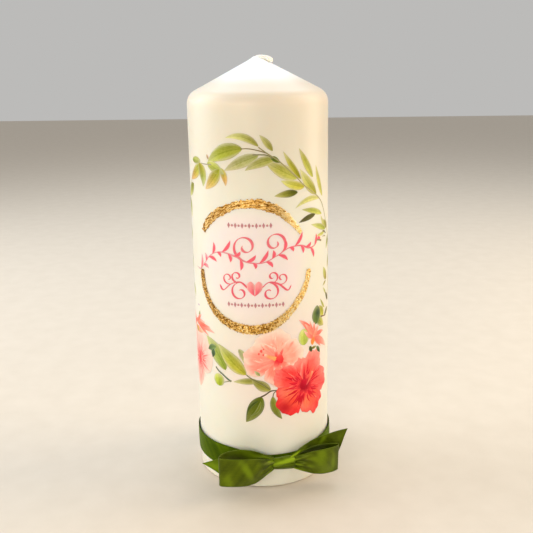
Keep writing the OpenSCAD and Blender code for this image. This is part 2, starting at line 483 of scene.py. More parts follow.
def make_wick():
    """The exposed wick: a braid under its wax, bent over, with a blunt waxed end."""
    run, side, up = wick_frame()
    length = 7.4 * MM
    rings, around = 90, 40
    verts = []
    for i in range(rings):
        t = i / (rings - 1)
        # from the round root, along the run, to the round end
        s = -WICK_R + (length + 2 * WICK_R) * t
        round_off = 1.0
        if s < 0:
            round_off = math.sqrt(max(1 - (s / WICK_R) ** 2, 0.0))
        elif s > length:
            round_off = max(1 - ((s - length) / WICK_R) ** 2.6, 0.0) ** 0.45
        lift = (0.85 * math.sin(math.pi * (s + 1.3 * MM) / (9.9 * MM)) - 0.36) * MM
        for k in range(around):
            a = 2 * math.pi * k / around
            braid = 0.008 * math.sin(3 * a + s * 2300) * math.sin(3 * a - s * 2300)
            lump = 0.022 * math.sin(s * 1300 + 1.0) * math.sin(a + 0.7)
            fat = 1.02 + 0.05 * math.exp(-((s - 0.84 * length) / (1.6 * MM)) ** 2)
            fat = fat * (0.86 + 0.14 * float(ease(s, -1.0 * MM, 1.5 * MM)))
            rad = WICK_R * round_off * (fat + braid + lump)
            p = PIVOT + run * s + side * (rad * math.cos(a)) + up * (rad * math.sin(a) + lift)
            verts.append(p)
    faces = []
    for i in range(rings - 1):
        for k in range(around):
            k2 = (k + 1) % around
            faces.append((i * around + k, i * around + k2, (i + 1) * around + k2, (i + 1) * around + k))
    faces.append(tuple(range(around - 1, -1, -1)))
    faces.append(tuple((rings - 1) * around + k for k in range(around)))
    wick = new_object("wick_end", verts, faces, cotton_material("wick_wax"))
    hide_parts("wick_tip")
    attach(wick, "wick")


# ---------------------------------------------------------------- ribbon
def satin_material(name, light=0.0, gloss=0.7):
    """Leaf-green satin with painted sheen. Its map runs along and across the ribbon in metres, with painted
    light and shade from -1 to 1.
    """
    m = Nodes(name)
    u, v, fold = m.split(m.attribute("weave", "Vector"))
    # painted sheen: broad and slanted streaks of painted highlight and shade, with the weave's own fine
    # streaks, set the base colour between low and high
    streak = m.noise(1.0, 3, 0.6, m.join(m.times(u, 220.0), m.times(v, 2600.0)))
    broad = m.noise(95, 3, 0.5)
    slant = m.math("MULTIPLY_ADD", u, 260.0, m.times(v, 190.0))
    sheen = m.noise(1.0, 2, 0.5, m.join(slant, m.times(v, 45.0)))
    # light makes lit and shaded copies of the same satin: it moves both ends of the painted sheen lighter or
    # darker
    low = tuple(a + (b - a) * light for a, b in zip((0.025, 0.042, 0.0004), (0.085, 0.165, 0.003)))
    high = tuple(a + (b - a) * light for a, b in zip((0.084, 0.124, 0.0010), (0.18, 0.30, 0.006)))
    weave_and_painted_sheen = m.math("MULTIPLY_ADD", streak, 0.30, m.times(broad, 0.25))
    tone = m.ramp(m.math("MULTIPLY_ADD", sheen, 0.45, weave_and_painted_sheen), [(0.38, low), (0.62, high)])
    # painted shade where the painted light in the map is below 0, and a painted highlight where it is above
    # 0
    tone = m.mix(m.span(fold, 0.0, -1.0, 0.0, 0.78), tone, (0.012, 0.024, 0.0004))
    tone = m.mix(m.span(fold, 0.0, 1.0, 0.0, 0.80), tone, (0.28, 0.42, 0.012))
    edge = m.span(m.math("ABSOLUTE", m.minus(v, RIBBON_W / 2)), 7.0 * MM, 7.6 * MM)
    tone = m.mix(m.times(edge, 0.55), tone, (0.055, 0.085, 0.002))
    m.set(Base_Color=tone, Roughness=m.span(streak, 0.3, 0.7, 0.30, 0.44), Anisotropic=0.6,
          Specular_IOR_Level=gloss, Specular_Tint=(0.80, 1.0, 0.12), Sheen_Weight=0.10, Sheen_Roughness=0.3,
          Sheen_Tint=(0.62, 0.85, 0.05))
    weft = m.math("SINE", m.times(u, 2 * math.pi / 0.00028))
    warp = m.math("SINE", m.times(v, 2 * math.pi / 0.00022))
    weave = m.math("MULTIPLY_ADD", weft, 0.5, m.times(warp, 0.35))
    fine = m.bump(weave, 0.00004, 0.30)
    m.set(Normal=m.bump(edge, 0.00012, 0.6, after=fine))
    return m.mat


RIBBON_T = 0.22 * MM
RIBBON_W = 16 * MM


def make_sheet(name, points, material, node, thick=RIBBON_T, painted_light=None):
    """A closed thin sheet on a grid of points, which run along it and across it."""
    normals = grid_normals(points)
    verts, faces = slab(points + normals * thick / 2, points - normals * thick / 2)
    sheet = new_object(name, verts, faces, material)
    n, m = points.shape[:2]
    steps = np.linalg.norm(np.diff(points, axis=0), axis=2).mean(1)
    u = np.r_[0, np.cumsum(steps)][:, None] * np.ones(m)
    v = np.linspace(0, RIBBON_W, m)[None, :] * np.ones((n, 1))
    # the third number in weave is painted light and shade, from -1 to 1
    weave = np.stack([u, v, u * 0 if painted_light is None else painted_light], -1).reshape(-1, 3)
    layer = sheet.data.attributes.new("weave", "FLOAT_VECTOR", "POINT")
    layer.data.foreach_set("vector", np.concatenate([weave, weave]).astype(np.float32).ravel())
    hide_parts(node)
    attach(sheet, "ribbon")


KNOT_TURN = math.radians(21)
KNOT_R = 41.2 * MM
KNOT_Z = 17 * MM
GATHER = 15 * MM                                 # how far the knot's pleats reach


def from_knot(u, v, z):
    """Points in the knot's frame, in metres: right along the front, away from the pillar, and up."""
    u, v, z = (np.asarray(a, float) for a in (u, v, z))
    right = np.array([math.cos(KNOT_TURN), math.sin(KNOT_TURN), 0])
    out = np.array([math.sin(KNOT_TURN), -math.cos(KNOT_TURN), 0])
    return (out * KNOT_R + u[..., None] * right + v[..., None] * out
            + (z[..., None] + KNOT_Z) * np.array([0, 0, 1.0]))


def make_band(material):
    """The run round the foot: 16 mm of ribbon tucked to 13, drawn together where the knot grips it."""
    n, m = 400, 26
    turn = np.linspace(0, 2 * math.pi, n) + KNOT_TURN - math.pi / 2      # starts and ends under the knot
    off = np.minimum(turn - turn[0], turn[-1] - turn)                    # angle away from the knot
    grip = 1 - ease(off, math.radians(9), math.radians(46))
    low = band_low.z + 2.6 * MM * grip
    high = band_high.z - 3.0 * MM * grip
    across = np.linspace(0, 1, m)
    tuck = 0.19                                                         # share folded behind the lower edge
    shown = np.clip((across - tuck) / (1 - tuck), 0, 1)
    behind = np.clip(1 - across / tuck, 0, 1)
    tucked = 2.2 * MM * behind[None, :] * (1 - 0.6 * grip[:, None])
    z = low[:, None] + (high - low)[:, None] * shown[None, :] + tucked
    inner = band_low.x * -1 - 0.32 * MM
    bulge = 0.16 * MM * np.sin(math.pi * shown[None, :] + 0.4 * np.sin(3 * turn)[:, None])
    pleat = 0.16 * MM * grip[:, None] * np.sin(shown[None, :] * 4 * math.pi + 0.7)
    r = inner + bulge + pleat * (1 - behind[None, :]) - 0.28 * MM * (behind[None, :] ** 0.5)
    soft = 0.05 * MM * np.sin(7 * turn + 1)[:, None] * np.sin(math.pi * shown)[None, :]
    r = r + soft
    points = np.stack([r * np.cos(turn)[:, None], r * np.sin(turn)[:, None], z], -1)
    # painted light: slow lighter and darker streaks along the band, and painted shade over the band away
    # from the knot
    painted_streaks = 0.25 * np.sin(4 * turn + 1)[:, None] * np.sin(math.pi * shown)[None, :]
    painted_light = painted_streaks - 0.30 * (1 - grip[:, None])
    make_sheet("satin_band", points, material, "ribbon_band",
               thick=0.18 * MM, painted_light=painted_light)


def strip_points(route, low, high, pleats, lights, n=110, grips=(True, True), lean=0.0, phase=0.0,
                 swell=0.0, belly=0.0):
    """Grid along a plan route, between low and high edges given along it, with pleats where the knot
    grips it. Also returns the painted light and shade of each point, from -1 to 1.
    lights are painted highlights, or painted shade where light is below 0: (share, across, half length,
    slope, light)."""
    path = smooth_curve(np.array(route) * MM, n)
    steps = np.r_[0, np.cumsum(np.linalg.norm(np.diff(path, axis=0), axis=1))]
    share = steps / steps[-1]
    lo = np.interp(share, np.linspace(0, 1, len(low)), low) * MM
    hi = np.interp(share, np.linspace(0, 1, len(high)), high) * MM
    even_out(lo, 12)                                                    # rounds the edges' corners
    even_out(hi, 12)
    _, side = headings(path)
    v = np.linspace(0, 1, 30)
    near = np.zeros(n)
    if grips[0]:
        near = np.maximum(near, 1 - ease(steps, 0, GATHER))
    if grips[1]:
        near = np.maximum(near, 1 - ease(steps[-1] - steps, 0, GATHER))
    fold = v[None, :] + 0.10 * (1 - near[:, None])
    wave = pleats * MM * near[:, None] ** 1.5 * np.sin(fold * 2.6 * 2 * math.pi + phase)
    slope = np.sin(2 * math.pi * (2.2 * share[:, None] + 0.7 * v[None, :]) + 2 * phase)
    open_out = (1 - near[:, None]) * np.sin(math.pi * v)[None, :]
    if grips[0] and grips[1]:
        open_out = open_out * (1 - np.exp(-((share - 0.5) / 0.13) ** 4))[:, None]
    wave = wave + (swell * slope + belly) * MM * open_out
    z = lo[:, None] + (hi - lo)[:, None] * v[None, :]
    plan = path[:, None, :] + side[:, None, :] * wave[:, :, None]
    tilt = (v[None, :] - 0.5) * lean * MM * (1 - near[:, None])
    # painted light: painted shade in the pleats' valleys and painted highlights on their ridges near the
    # knot, with slow diagonal painted streaks and the listed painted highlights and shade
    light = 0.75 * near[:, None] * np.sin(fold * 2.6 * 2 * math.pi + phase + 0.6)
    light = light + 0.16 * np.sin(2 * math.pi * (3.1 * share[:, None] - 0.8 * v[None, :]) + phase)
    for at, across, half, slope, amount in lights:
        line = (share[:, None] - at - slope * (v[None, :] - across)) / half
        light = light + amount * np.exp(-line ** 2 - ((v[None, :] - across) / 0.55) ** 2)
    return from_knot(plan[..., 0], plan[..., 1] + tilt, z), np.clip(light, -1, 1)


def make_bow(material):
    # lights: painted highlights where light is above 0, painted shade where it is below 0, on the loops'
    # faces
    left, painted_light = strip_points(
        [(-5.2, 1.2), (-9, 2.8), (-14, 4.4), (-21, 5.6), (-28, 5.4), (-34.4, 4.2), (-36.1, 3.0),
         (-35.7, 1.6), (-32.4, -0.8), (-26, -2.6), (-18, -2.8), (-11, -1.6), (-5.2, -0.5)],
        [-3.2, -5.4, -7.8, -8.4, -7.9, -7.4, -6.9, -6.6, -6.4, -6.0, -4.6, -3.2],
        [2.6, 4.6, 6.5, 7.5, 8.3, 9.0, 9.5, 9.5, 9.0, 7.6, 5.2, 2.6],
        n=170, pleats=0.75, swell=0.5, belly=-0.9,
        lights=[(0.25, 0.45, 0.045, 0.10, 0.36), (0.41, 0.4, 0.04, 0.0, 0.30),
                (0.115, 0.75, 0.035, 0.06, -0.8), (0.16, 0.15, 0.03, 0.10, -0.55),
                (0.80, 0.9, 0.12, 0.0, 0.55)])
    make_sheet("bow_left_loop", left, material, "bow_loop_left",
               painted_light=painted_light)
    right, painted_light = strip_points(
        [(5.2, 0.9), (9, 1.9), (14, 3.4), (20, 4.6), (26, 4.4), (29.9, 3.2), (31.0, 2.0), (30.4, 0.8),
         (26.5, -0.2), (20, -0.2), (12, 0.0), (5.2, -0.3)],
        [-4.2, -6.3, -8.2, -8.9, -8.9, -8.7, -8.2, -7.4, -6.2, -5.0, -4.0],
        [1.6, 3.6, 5.8, 6.6, 6.9, 6.9, 6.9, 7.0, 6.6, 4.8, 1.8],
        n=170, pleats=0.7, lean=1.2, phase=0.8, swell=0.4, belly=0.8,
        lights=[(0.30, 0.45, 0.09, 0.05, 0.50), (0.42, 0.7, 0.03, 0.0, 0.35), (0.11, 0.6, 0.03, -0.06, -0.5),
                (0.75, 0.9, 0.20, 0.0, -1.2)])
    make_sheet("bow_right_loop", right, material, "bow_loop_right",
               painted_light=painted_light)


def make_knot(material):
    """The knot: ribbon wrapped once round the gathered bow, with a soft diagonal crease."""
    n, m = 60, 72
    s = np.linspace(-1, 1, n)
    a = np.linspace(0, 2 * math.pi, m)
    u = s[:, None] * 6.9 * MM + 0 * a[None, :]
    end = np.sqrt(np.maximum(1 - 0.9 * np.abs(s) ** 9, 0.02))[:, None]
    turn = np.mod(a[None, :] + math.pi, 2 * math.pi) - math.pi
    line = -0.20 + 0.42 * s[:, None]
    crease = 1 - 0.30 * hump(turn - line, 0.22)
    crease = crease + 0.10 * hump(turn - line - 0.62, 0.34)
    crease = crease - 0.10 * hump(turn - line + 0.75, 0.16)
    crease = crease - 0.03 * np.sin(5 * a[None, :] + 2.2 * s[:, None])
    tall = 3.55 + 0.45 * s[:, None]
    v = 2.45 * MM * np.cos(a)[None, :] * end * crease + 0.1 * MM
    z = tall * MM * np.sin(a)[None, :] * end * crease - (0.9 + 0.4 * s[:, None]) * MM
    points = from_knot(u, v, z)
    # painted light: a painted highlight above the crease, painted shade below it, a smaller highlight on the
    # lower roll and shade at the ends
    painted_light = 0.95 * hump(turn - line - 0.62, 0.42) - 0.85 * ease(line - turn, -0.15, 0.35)
    painted_light = painted_light + 0.5 * hump(turn - line + 0.72, 0.2) - 0.3 * np.abs(s[:, None]) ** 5
    make_sheet("bow_knot_wrap", points, material, "bow_knot", painted_light=painted_light)


def make_tails(material, painted_lit_satin):
    # lights: painted highlights where light is above 0, painted shade where it is below 0
    left, painted_light = strip_points(
        [(-5.2, -1.4), (-12, -3.0), (-21, -6.0), (-32, -9.6), (-42.5, -13.2)],
        [-3.0, -7.0, -10.5, -13.0, -14.2], [3.4, 4.6, 3.6, 1.6, -1.6], pleats=0.4, grips=(True, False),
        lights=[(0.9, 0.6, 0.25, 0.0, 0.35)])
    left = cut_end(left, 15 * MM)
    make_sheet("bow_left_tail", left, painted_lit_satin, "bow_tail_left",
               painted_light=painted_light)
    right, painted_light = strip_points(
        [(3.2, 0.9), (8.5, 0.4), (14, -2.2), (21, -4.1), (31, -3.8), (38.6, -2.6)],
        [-2.2, -3.2, -6.0, -6.4, -5.6, -4.4, -2.6], [2.5, 6.0, 6.9, 8.3, 9.6, 11.1, 12.3],
        pleats=0.35, grips=(True, False), lean=-2.0, swell=0.3,
        lights=[(0.10, 0.7, 0.12, 0.0, 0.8), (0.35, 0.5, 0.06, 0.1, -0.6), (0.62, 0.8, 0.05, 0.12, 0.3)])
    right = cut_end(right, 7.5 * MM)
    make_sheet("bow_right_tail", right, material, "bow_tail_right",
               painted_light=painted_light)


def cut_end(points, slant):
    """Shortens the lower edge of a strip's far end by slant, for a diagonal cut."""
    m = points.shape[1]
    steps = np.linalg.norm(np.diff(points, axis=0), axis=2).mean(1)
    length = steps.sum()
    out = points.copy()
    at = np.r_[0, np.cumsum(steps)] / length
    for j in range(m):
        keep = 1 - slant / length * (1 - j / (m - 1))
        for k in range(3):
            out[:, j, k] = np.interp(at * keep, at, points[:, j, k])
    return out


# ---------------------------------------------------------------- printed film
ART_X = 4.5                                      # the art's own upright, right of the ring's centre, in mm
INK = {
    "olive": (146, 148, 52), "moss": (112, 122, 34), "lime": (182, 190, 78), "gilt": (196, 178, 66),
    "pale": (212, 210, 136), "sage": (156, 164, 104), "teal": (84, 112, 84), "deep": (84, 104, 24),
    "amber": (212, 158, 74), "coral": (254, 96, 84), "crimson": (200, 4, 48),
    "red": (242, 44, 62), "orange": (255, 122, 76), "yellow": (255, 192, 120), "script": (236, 98, 118),
    "mauve": (196, 136, 140), "faded": (226, 176, 184),
}


def ink(colour):
    """Linear colour from a name or from three 0-255 display values."""
    c = np.array(INK[colour] if isinstance(colour, str) else colour, float) / 255
    return np.where(c <= 0.04045, c / 12.92, ((c + 0.055) / 1.055) ** 2.4)


def wrap(a, z, r):
    """Points on the pillar, from the art's arc and height in mm and a radius in metres."""
    turn = (np.asarray(a, float) + ART_X) * MM / R
    return np.stack([r * np.sin(turn), -r * np.cos(turn), np.asarray(z, float) * MM + 0 * turn], -1)


class Art:
    """One printed piece: many thin closed patches wrapped round the pillar."""

    def __init__(self):
        self.verts, self.faces, self.colours, self.maps = [], [], [], []
        self.count = 0
        self.patches = 0

    def patch(self, a, z, colour, t, s, layer):
        cross = (np.diff(a, axis=0)[:, :-1] * np.diff(z, axis=1)[:-1]
                 - np.diff(z, axis=0)[:, :-1] * np.diff(a, axis=1)[:-1]).sum()
        if cross < 0:
            a, z, colour, t, s = (g[:, ::-1] for g in (a, z, colour, t, s))
        top = R + (0.030 + 0.0065 * layer) * MM
        verts, faces = slab(wrap(a, z, top), wrap(a, z, R + 0.010 * MM))
        self.patches += 1
        seed = np.full(t.shape, (self.patches * 0.6180) % 1.0)
        face = np.stack([t, s * 0.5 + 0.5, seed], -1).reshape(-1, 3)
        self.faces += [tuple(k + self.count for k in f) for f in faces]
        self.count += len(verts)
        self.verts.append(verts)
        self.colours += [colour.reshape(-1, 3)] * 2
        self.maps += [face] * 2

    def leaf(self, base, tip, width, bend, c0, c1, layer, belly=0.42, point=0.85,
             half=0.12, blots=(), n=26, m=9, shape="leaf"):
        """A leaf from base to tip, arched by bend to the left of its run."""
        base, tip = np.array(base, float), np.array(tip, float)
        t = np.linspace(0, 1, n)[:, None] * np.ones(m)
        s = np.linspace(-1, 1, m)[None, :] * np.ones((n, 1))
        d = tip - base
        normal = np.array([-d[1], d[0]]) / np.hypot(*d)
        mid = base + t[..., None] * d + normal * (bend * 4 * t * (1 - t))[..., None]
        if shape == "leaf":
            fat = np.sin(math.pi * np.clip(t, 0, 1) ** (math.log(0.5) / math.log(belly))) ** point
        elif shape == "oval":
            fat = np.sqrt(np.clip(1 - (2 * t - 1) ** 2, 0, 1))
        else:
            fat = 1 - np.abs(2 * t - 1)
        wide = np.maximum(width / 2 * fat, 0.03)
        _, side = headings(mid[:, 0])
        p = mid + side[:, None, :] * (wide * s)[..., None]
        colour = ink(c0) + (ink(c1) - ink(c0)) * ease(t, 0.1, 0.95)[..., None]
        colour = colour * (1.06 + half * np.sign(s) * ease(np.abs(s), 0.02, 0.25))[..., None]
        self.patch(p[..., 0], p[..., 1], blot(p, colour, blots), t, s, layer)

    def stroke(self, points, w0, w1, colour, layer, nib=None, c1=None, n=None):
        """A pen line. With a nib angle its width follows its direction, as a broad pen's does."""
        p = smooth_curve(points, n or max(8, 6 * len(points)))
        count = len(p)
        run, side = headings(p)
        t = np.linspace(0, 1, count)
        if nib is None:
            wide = w0 + (w1 - w0) * t
        else:
            press = np.abs(np.cross(run, np.array([math.cos(nib), math.sin(nib)]))) ** 1.6
            even_out(press, 6)
            wide = w0 + (w1 - w0) * press
            wide = wide * (0.35 + 0.65 * ease(t, 0, 0.05) * (1 - ease(t, 0.93, 1.0)))
        m = 4
        s = np.linspace(-1, 1, m)
        grid = p[:, None, :] + side[:, None, :] * (wide[:, None] * s[None, :] / 2)[..., None]
        tt = t[:, None] * np.ones(m)
        colours = ink(colour) + (ink(c1 or colour) - ink(colour)) * tt[..., None]
        self.patch(grid[..., 0], grid[..., 1], colours, tt, np.ones((count, 1)) * s, layer)

    def petal(self, centre, outline, core, mid, rim, layer, blots=(), ruffle=0.35):
        """A petal, fanned from the flower's centre to an outline."""
        n, m = 24, 44
        edge = smooth_curve(outline, m)
        out = edge - np.array(centre)
        noise = rng(int(1000 + layer * 17 + abs(centre[0]) * 3)).normal(0, 1, m)
        noise = np.convolve(noise, [0.25, 0.5, 0.25], "same")
        q = np.linspace(0, 1, m)
        jag = ruffle * (0.5 * np.sin(q * 23 + layer) + 0.3 * np.sin(q * 41 + 2 * layer) + 0.5 * noise)
        jag = jag * np.sin(math.pi * q) ** 0.5 / np.linalg.norm(out, axis=1)
        t = np.linspace(0.02, 1, n)[:, None] * np.ones(m)
        p = np.array(centre) + out[None, :, :] * (t * (1 + jag[None, :] * t ** 3))[..., None]
        s = (q * 2 - 1)[None, :] * np.ones((n, 1))
        fade = ease(t, 0.0, 0.35)[..., None]
        colour = ink(core) * (1 - fade) + ink(mid) * fade
        far = ease(t, 0.55, 1.0)[..., None]
        colour = colour * (1 - far) + ink(rim) * far
        self.patch(p[..., 0], p[..., 1], blot(p, colour, blots), t, s, layer)

    def build(self, name, material):
        obj = new_object(name, np.concatenate(self.verts), self.faces, material)
        colour_layer(obj, "ink", np.clip(np.concatenate(self.colours), 0, 1))
        layer = obj.data.attributes.new("petal", "FLOAT_VECTOR", "POINT")
        layer.data.foreach_set("vector", np.concatenate(self.maps).astype(np.float32).ravel())
        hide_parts("decal_film")
        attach(obj, "candle")


def blot(p, colour, blots):
    """Soft spots of another colour: (a, z, half width, half height, slope in degrees, colour, strength)."""
    for a, z, rx, ry, tilt, tone, strength in blots:
        d = p - np.array([a, z])
        c, s = math.cos(math.radians(tilt)), math.sin(math.radians(tilt))
        u = (d[..., 0] * c + d[..., 1] * s) / rx
        v = (-d[..., 0] * s + d[..., 1] * c) / ry
        k = (strength * np.exp(-(u ** 2 + v ** 2)))[..., None]
        colour = colour * (1 - k) + ink(tone) * k
    return colour


def print_material(name, kind, fade=0.5, deep=None):
    """Watercolour ink under a clear film: washes that thin out at their edges, with veins."""
    m = Nodes(name)
    tone = m.attribute("ink")
    t, s, seed = m.split(m.attribute("petal", "Vector"))
    place = m.coords((1, 1, 1))
    mottle = m.noise(620, 4, 0.6, place)
    broad = m.noise(230, 3, 0.5, place)
    centre = m.math("ABSOLUTE", m.math("MULTIPLY_ADD", s, 2.0, -1.0))
    wet = m.math("MULTIPLY_ADD", m.span(mottle, 0.3, 0.7), 0.38, m.span(broad, 0.3, 0.7, 0.0, 0.26))
    if kind == "leaf":
        rib = m.span(centre, 0.03, 0.13, 0.55, 0.0)
        rise = m.math("MULTIPLY_ADD", centre, -0.30, t)
        veins = m.span(m.math("SINE", m.times(rise, 58.0)), 0.66, 1.0, 0.0, 0.30)
        wet = m.plus(m.plus(wet, rib), veins)
        deep = deep or (0.62, 0.68, 0.36)
        thin = m.math("MAXIMUM", m.span(centre, 0.45, 1.0), m.times(m.span(t, 0.55, 1.0), 0.8))
    elif kind == "petal":
        fan = m.join(m.times(s, 15.0), m.times(t, 1.5), m.times(seed, 40.0))
        streaks = m.noise(1.0, 4, 0.6, fan)
        wet = m.plus(wet, m.span(streaks, 0.42, 0.75, 0.0, 0.75))
        deep = deep or (0.96, 0.72, 0.72)
        ragged = m.math("MULTIPLY_ADD", m.minus(streaks, 0.5), 0.55, t)
        thin = m.span(ragged, 0.62, 1.02)
    else:
        deep = deep or (0.86, 0.72, 0.72)
        thin = m.span(centre, 0.5, 1.0)
    tone = m.mix(m.math("MINIMUM", wet, 1.0), tone, m.mix(1.0, tone, deep, "MULTIPLY"))
    thin = m.times(thin, m.span(broad, 0.3, 0.7, 0.6 * fade, fade))
    _, green, _ = m.split(tone)
    if kind == "leaf":
        thin = m.times(thin, m.span(green, 0.12, 0.36, 0.2, 1.0))
    elif kind == "petal":
        thin = m.times(thin, m.span(green, 0.02, 0.13, 0.1, 1.0))
    tone = m.mix(thin, tone, (0.90, 0.80, 0.66))
    m.set(Base_Color=tone, Roughness=m.span(broad, 0.3, 0.7, 0.38, 0.50), IOR=1.42, Specular_IOR_Level=0.16)
    m.set(Normal=m.bump(m.noise(1500, 3), 0.00002, 0.3))
    return m.mat


def print_leaves():
    art = Art()
    leaves = [
        # over the ring, from the middle to the left
        ((0, 187.3), (-17, 191.5), 3.9, -2.7, (160, 154, 78), "pale", 1),
        ((-8, 186.3), (-28.6, 179), 8.2, -1.6, (154, 156, 56), (176, 184, 76), 2),
        ((0, 183), (-18, 175.3), 6.0, -0.4, (168, 168, 108), (182, 176, 124), 1),
        ((9, 181), (-7, 175.5), 5.0, -1.2, (162, 160, 82), (176, 172, 104), 2),
        ((-21, 176), (-31, 165), 6.6, 0.6, (164, 164, 60), (222, 184, 108), 3),
        ((-20.5, 176.5), (-17.5, 167.5), 3.6, 0.8, (178, 174, 88), (222, 166, 92), 2),
        ((-29, 178.6), (-18.2, 173.5), 5.4, 0.2, (186, 190, 100), (160, 168, 80), 3),
        ((-33.5, 178), (-47, 168.5), 6.2, 0.5, "lime", "amber", 2),
        ((-36, 178.2), (-32.8, 166.2), 6.0, 1.4, (166, 158, 50), (176, 188, 112), 3),
        ((-43.5, 166.5), (-54, 159), 6.0, 0.3, "olive", "pale", 1),
        # over the ring, from the middle to the right
        ((7, 185), (0.5, 193), 3.4, -0.3, (156, 150, 74), (184, 178, 118), 1),
        ((6, 182.2), (11, 179), 2.6, 0.0, "deep", "moss", 4),
        ((20.5, 170.6), (3, 180.0), 6.8, 0.4, (192, 188, 96), (172, 166, 78), 1),
        ((22.5, 170), (12.5, 184.5), 3.4, 0.4, (160, 154, 34), (184, 178, 84), 3),
        ((31, 170), (21.5, 185.5), 4.2, 0.2, (190, 188, 92), (172, 166, 58), 2),
        ((40.2, 159.0), (33.5, 176), 3.5, 0.5, (206, 200, 112), (196, 190, 96), 1),
        ((34, 161), (22, 175), 5.8, 0.8, (172, 168, 60), (208, 204, 124), 2),
        ((24.8, 165.8), (11, 170), 4.8, 0.5, (198, 188, 74), (210, 206, 106), 2),
        ((20.5, 163.5), (7.5, 162.4), 3.8, -0.2, (90, 92, 20), (170, 166, 74), 4),
        ((37, 158.3), (19, 155.3), 3.0, -2.3, (222, 214, 146), (206, 202, 118), 1),
        ((39.5, 149.7), (23, 154.2), 3.3, -0.6, (206, 206, 108), (166, 170, 60), 2),
        ((33, 150.5), (21, 147.6), 2.9, -0.4, (96, 92, 44), (84, 80, 44), 3),
        ((45, 140.5), (29.5, 145.5), 3.2, -0.3, (172, 178, 70), (206, 208, 124), 1),
        ((48, 141), (41, 146), 4.0, 0.0, (146, 142, 44), (178, 180, 84), 2),
        ((43, 142), (38.5, 149), 2.2, 0.2, (196, 192, 112), (214, 210, 150), 0),
        ((43, 139), (33.5, 138.5), 2.0, 0.0, (204, 204, 112), (222, 218, 150), 1),
        ((47, 112), (42, 120), 4.8, 0.3, (166, 150, 42), (196, 200, 112), 1),
        ((46, 111.4), (41, 109.6), 1.6, 0.0, (166, 150, 70), (196, 190, 112), 1),
        ((46, 104), (41.5, 108.5), 1.6, 0.0, (190, 186, 110), (210, 206, 140), 1),
        ((51, 99), (45, 105), 2.7, 0.0, (94, 80, 30), (112, 96, 44), 1),
        # right-hand cluster
        ((42, 93), (37, 99.5), 5.2, 0.4, (196, 190, 70), (176, 170, 40), 1),
        ((34, 92.5), (42, 86.8), 5.2, 0.4, (150, 158, 76), (204, 192, 90), 1),
        ((43.5, 96.5), (38, 103), 1.7, 0.2, (190, 186, 96), (160, 162, 62), 2),
        ((50, 95), (43.5, 92.3), 2.8, 0.0, (150, 148, 84), (96, 96, 44), 2),
        # lower left
        ((-9, 66.5), (-25.5, 81.8), 8.6, 0.5, (186, 178, 64), (180, 184, 80), 4),
        ((-21.2, 67.5), (-35.3, 84.2), 9.4, -1.6, (150, 166, 70), (190, 198, 122), 2),
        ((-2, 62.8), (-16.5, 61.6), 3.8, -0.5, (154, 148, 74), (192, 186, 116), 2),
        ((4, 57.8), (-6.2, 63.8), 5.8, 0.3, (164, 156, 78), (142, 138, 44), 3),
        ((-1, 54.2), (-9.8, 39), 8.2, 0.5, (96, 108, 20), (116, 124, 34), 3),
        ((5, 54), (10, 40.3), 4.6, -1.2, (142, 144, 62), (118, 124, 34), 3),
        ((-1.6, 66.2), (-4.6, 69.0), 2.0, 0.0, (170, 168, 112), (196, 186, 140), 12),
        ((-43.5, 92.5), (-42.2, 96.6), 2.2, 0.0, (176, 140, 90), (176, 178, 84), 1),
        # round the sides, closing the wreath
        ((-53, 158), (-50, 147.5), 4.6, 0.4, "olive", "pale", 2),
        ((-55.5, 150), (-62.5, 142.5), 4.4, 0.3, "lime", "amber", 1),
        ((-56.5, 143), (-52.4, 134.5), 4.0, 0.4, "moss", "lime", 2),
        ((-57, 133), (-63, 125.8), 4.0, -0.3, "sage", "pale", 1),
        ((-56.6, 126), (-52.2, 118.5), 3.6, 0.4, (150, 152, 60), "lime", 2),
        ((-55.4, 116), (-60.5, 108.6), 3.6, -0.2, "olive", "gilt", 1),
        ((-53.6, 110), (-48.4, 103.6), 3.2, 0.2, "sage", "pale", 2),
        ((51.6, 136), (46.6, 129.0), 3.4, -0.3, "olive", "lime", 1),
        ((53.2, 133), (59.5, 127.5), 3.6, 0.3, "moss", "pale", 2),
        ((54.4, 125), (49.6, 117.5), 3.4, -0.3, (150, 152, 60), "gilt", 1),
        ((54.6, 121), (60.4, 114.4), 3.6, 0.2, "olive", "lime", 2),
        ((53.8, 112), (59.2, 105.6), 3.4, 0.2, "sage", "pale", 1),
    ]
    for base, tip, width, bend, c0, c1, layer in leaves:
        art.leaf(base, tip, width, bend, c0, c1, layer)
    # dark wet leaves and their patches
    art.leaf((33.5, 89.8), (34.6, 100.2), 7.8, 0.0, (104, 128, 62), (128, 142, 80), 3, belly=0.5, point=0.6,
             blots=[(35, 96, 2.6, 2.6, 0, (46, 74, 62), 0.95), (32, 93, 2.2, 3, 0, (96, 118, 50), 0.6)])
    art.leaf((-27.3, 79.6), (-33.9, 76.8), 3.8, -0.4, (122, 148, 92), "teal", 5)
    art.leaf((-29.3, 78), (-30.4, 73.0), 3.0, 0.2, "teal", (62, 78, 52), 6)
    art.leaf((-13, 80.6), (-9.4, 72.2), 3.8, 0.9, (172, 172, 128), (206, 198, 150), 1, point=0.7)
    art.leaf((-1.6, 51.4), (-7.4, 42.6), 1.7, 1.5, (128, 136, 44), (112, 122, 44), 5, half=0.0)
    art.leaf((-2.6, 51.8), (-9.4, 42.4), 1.5, -1.6, (72, 88, 18), (80, 94, 26), 5, half=0.0)
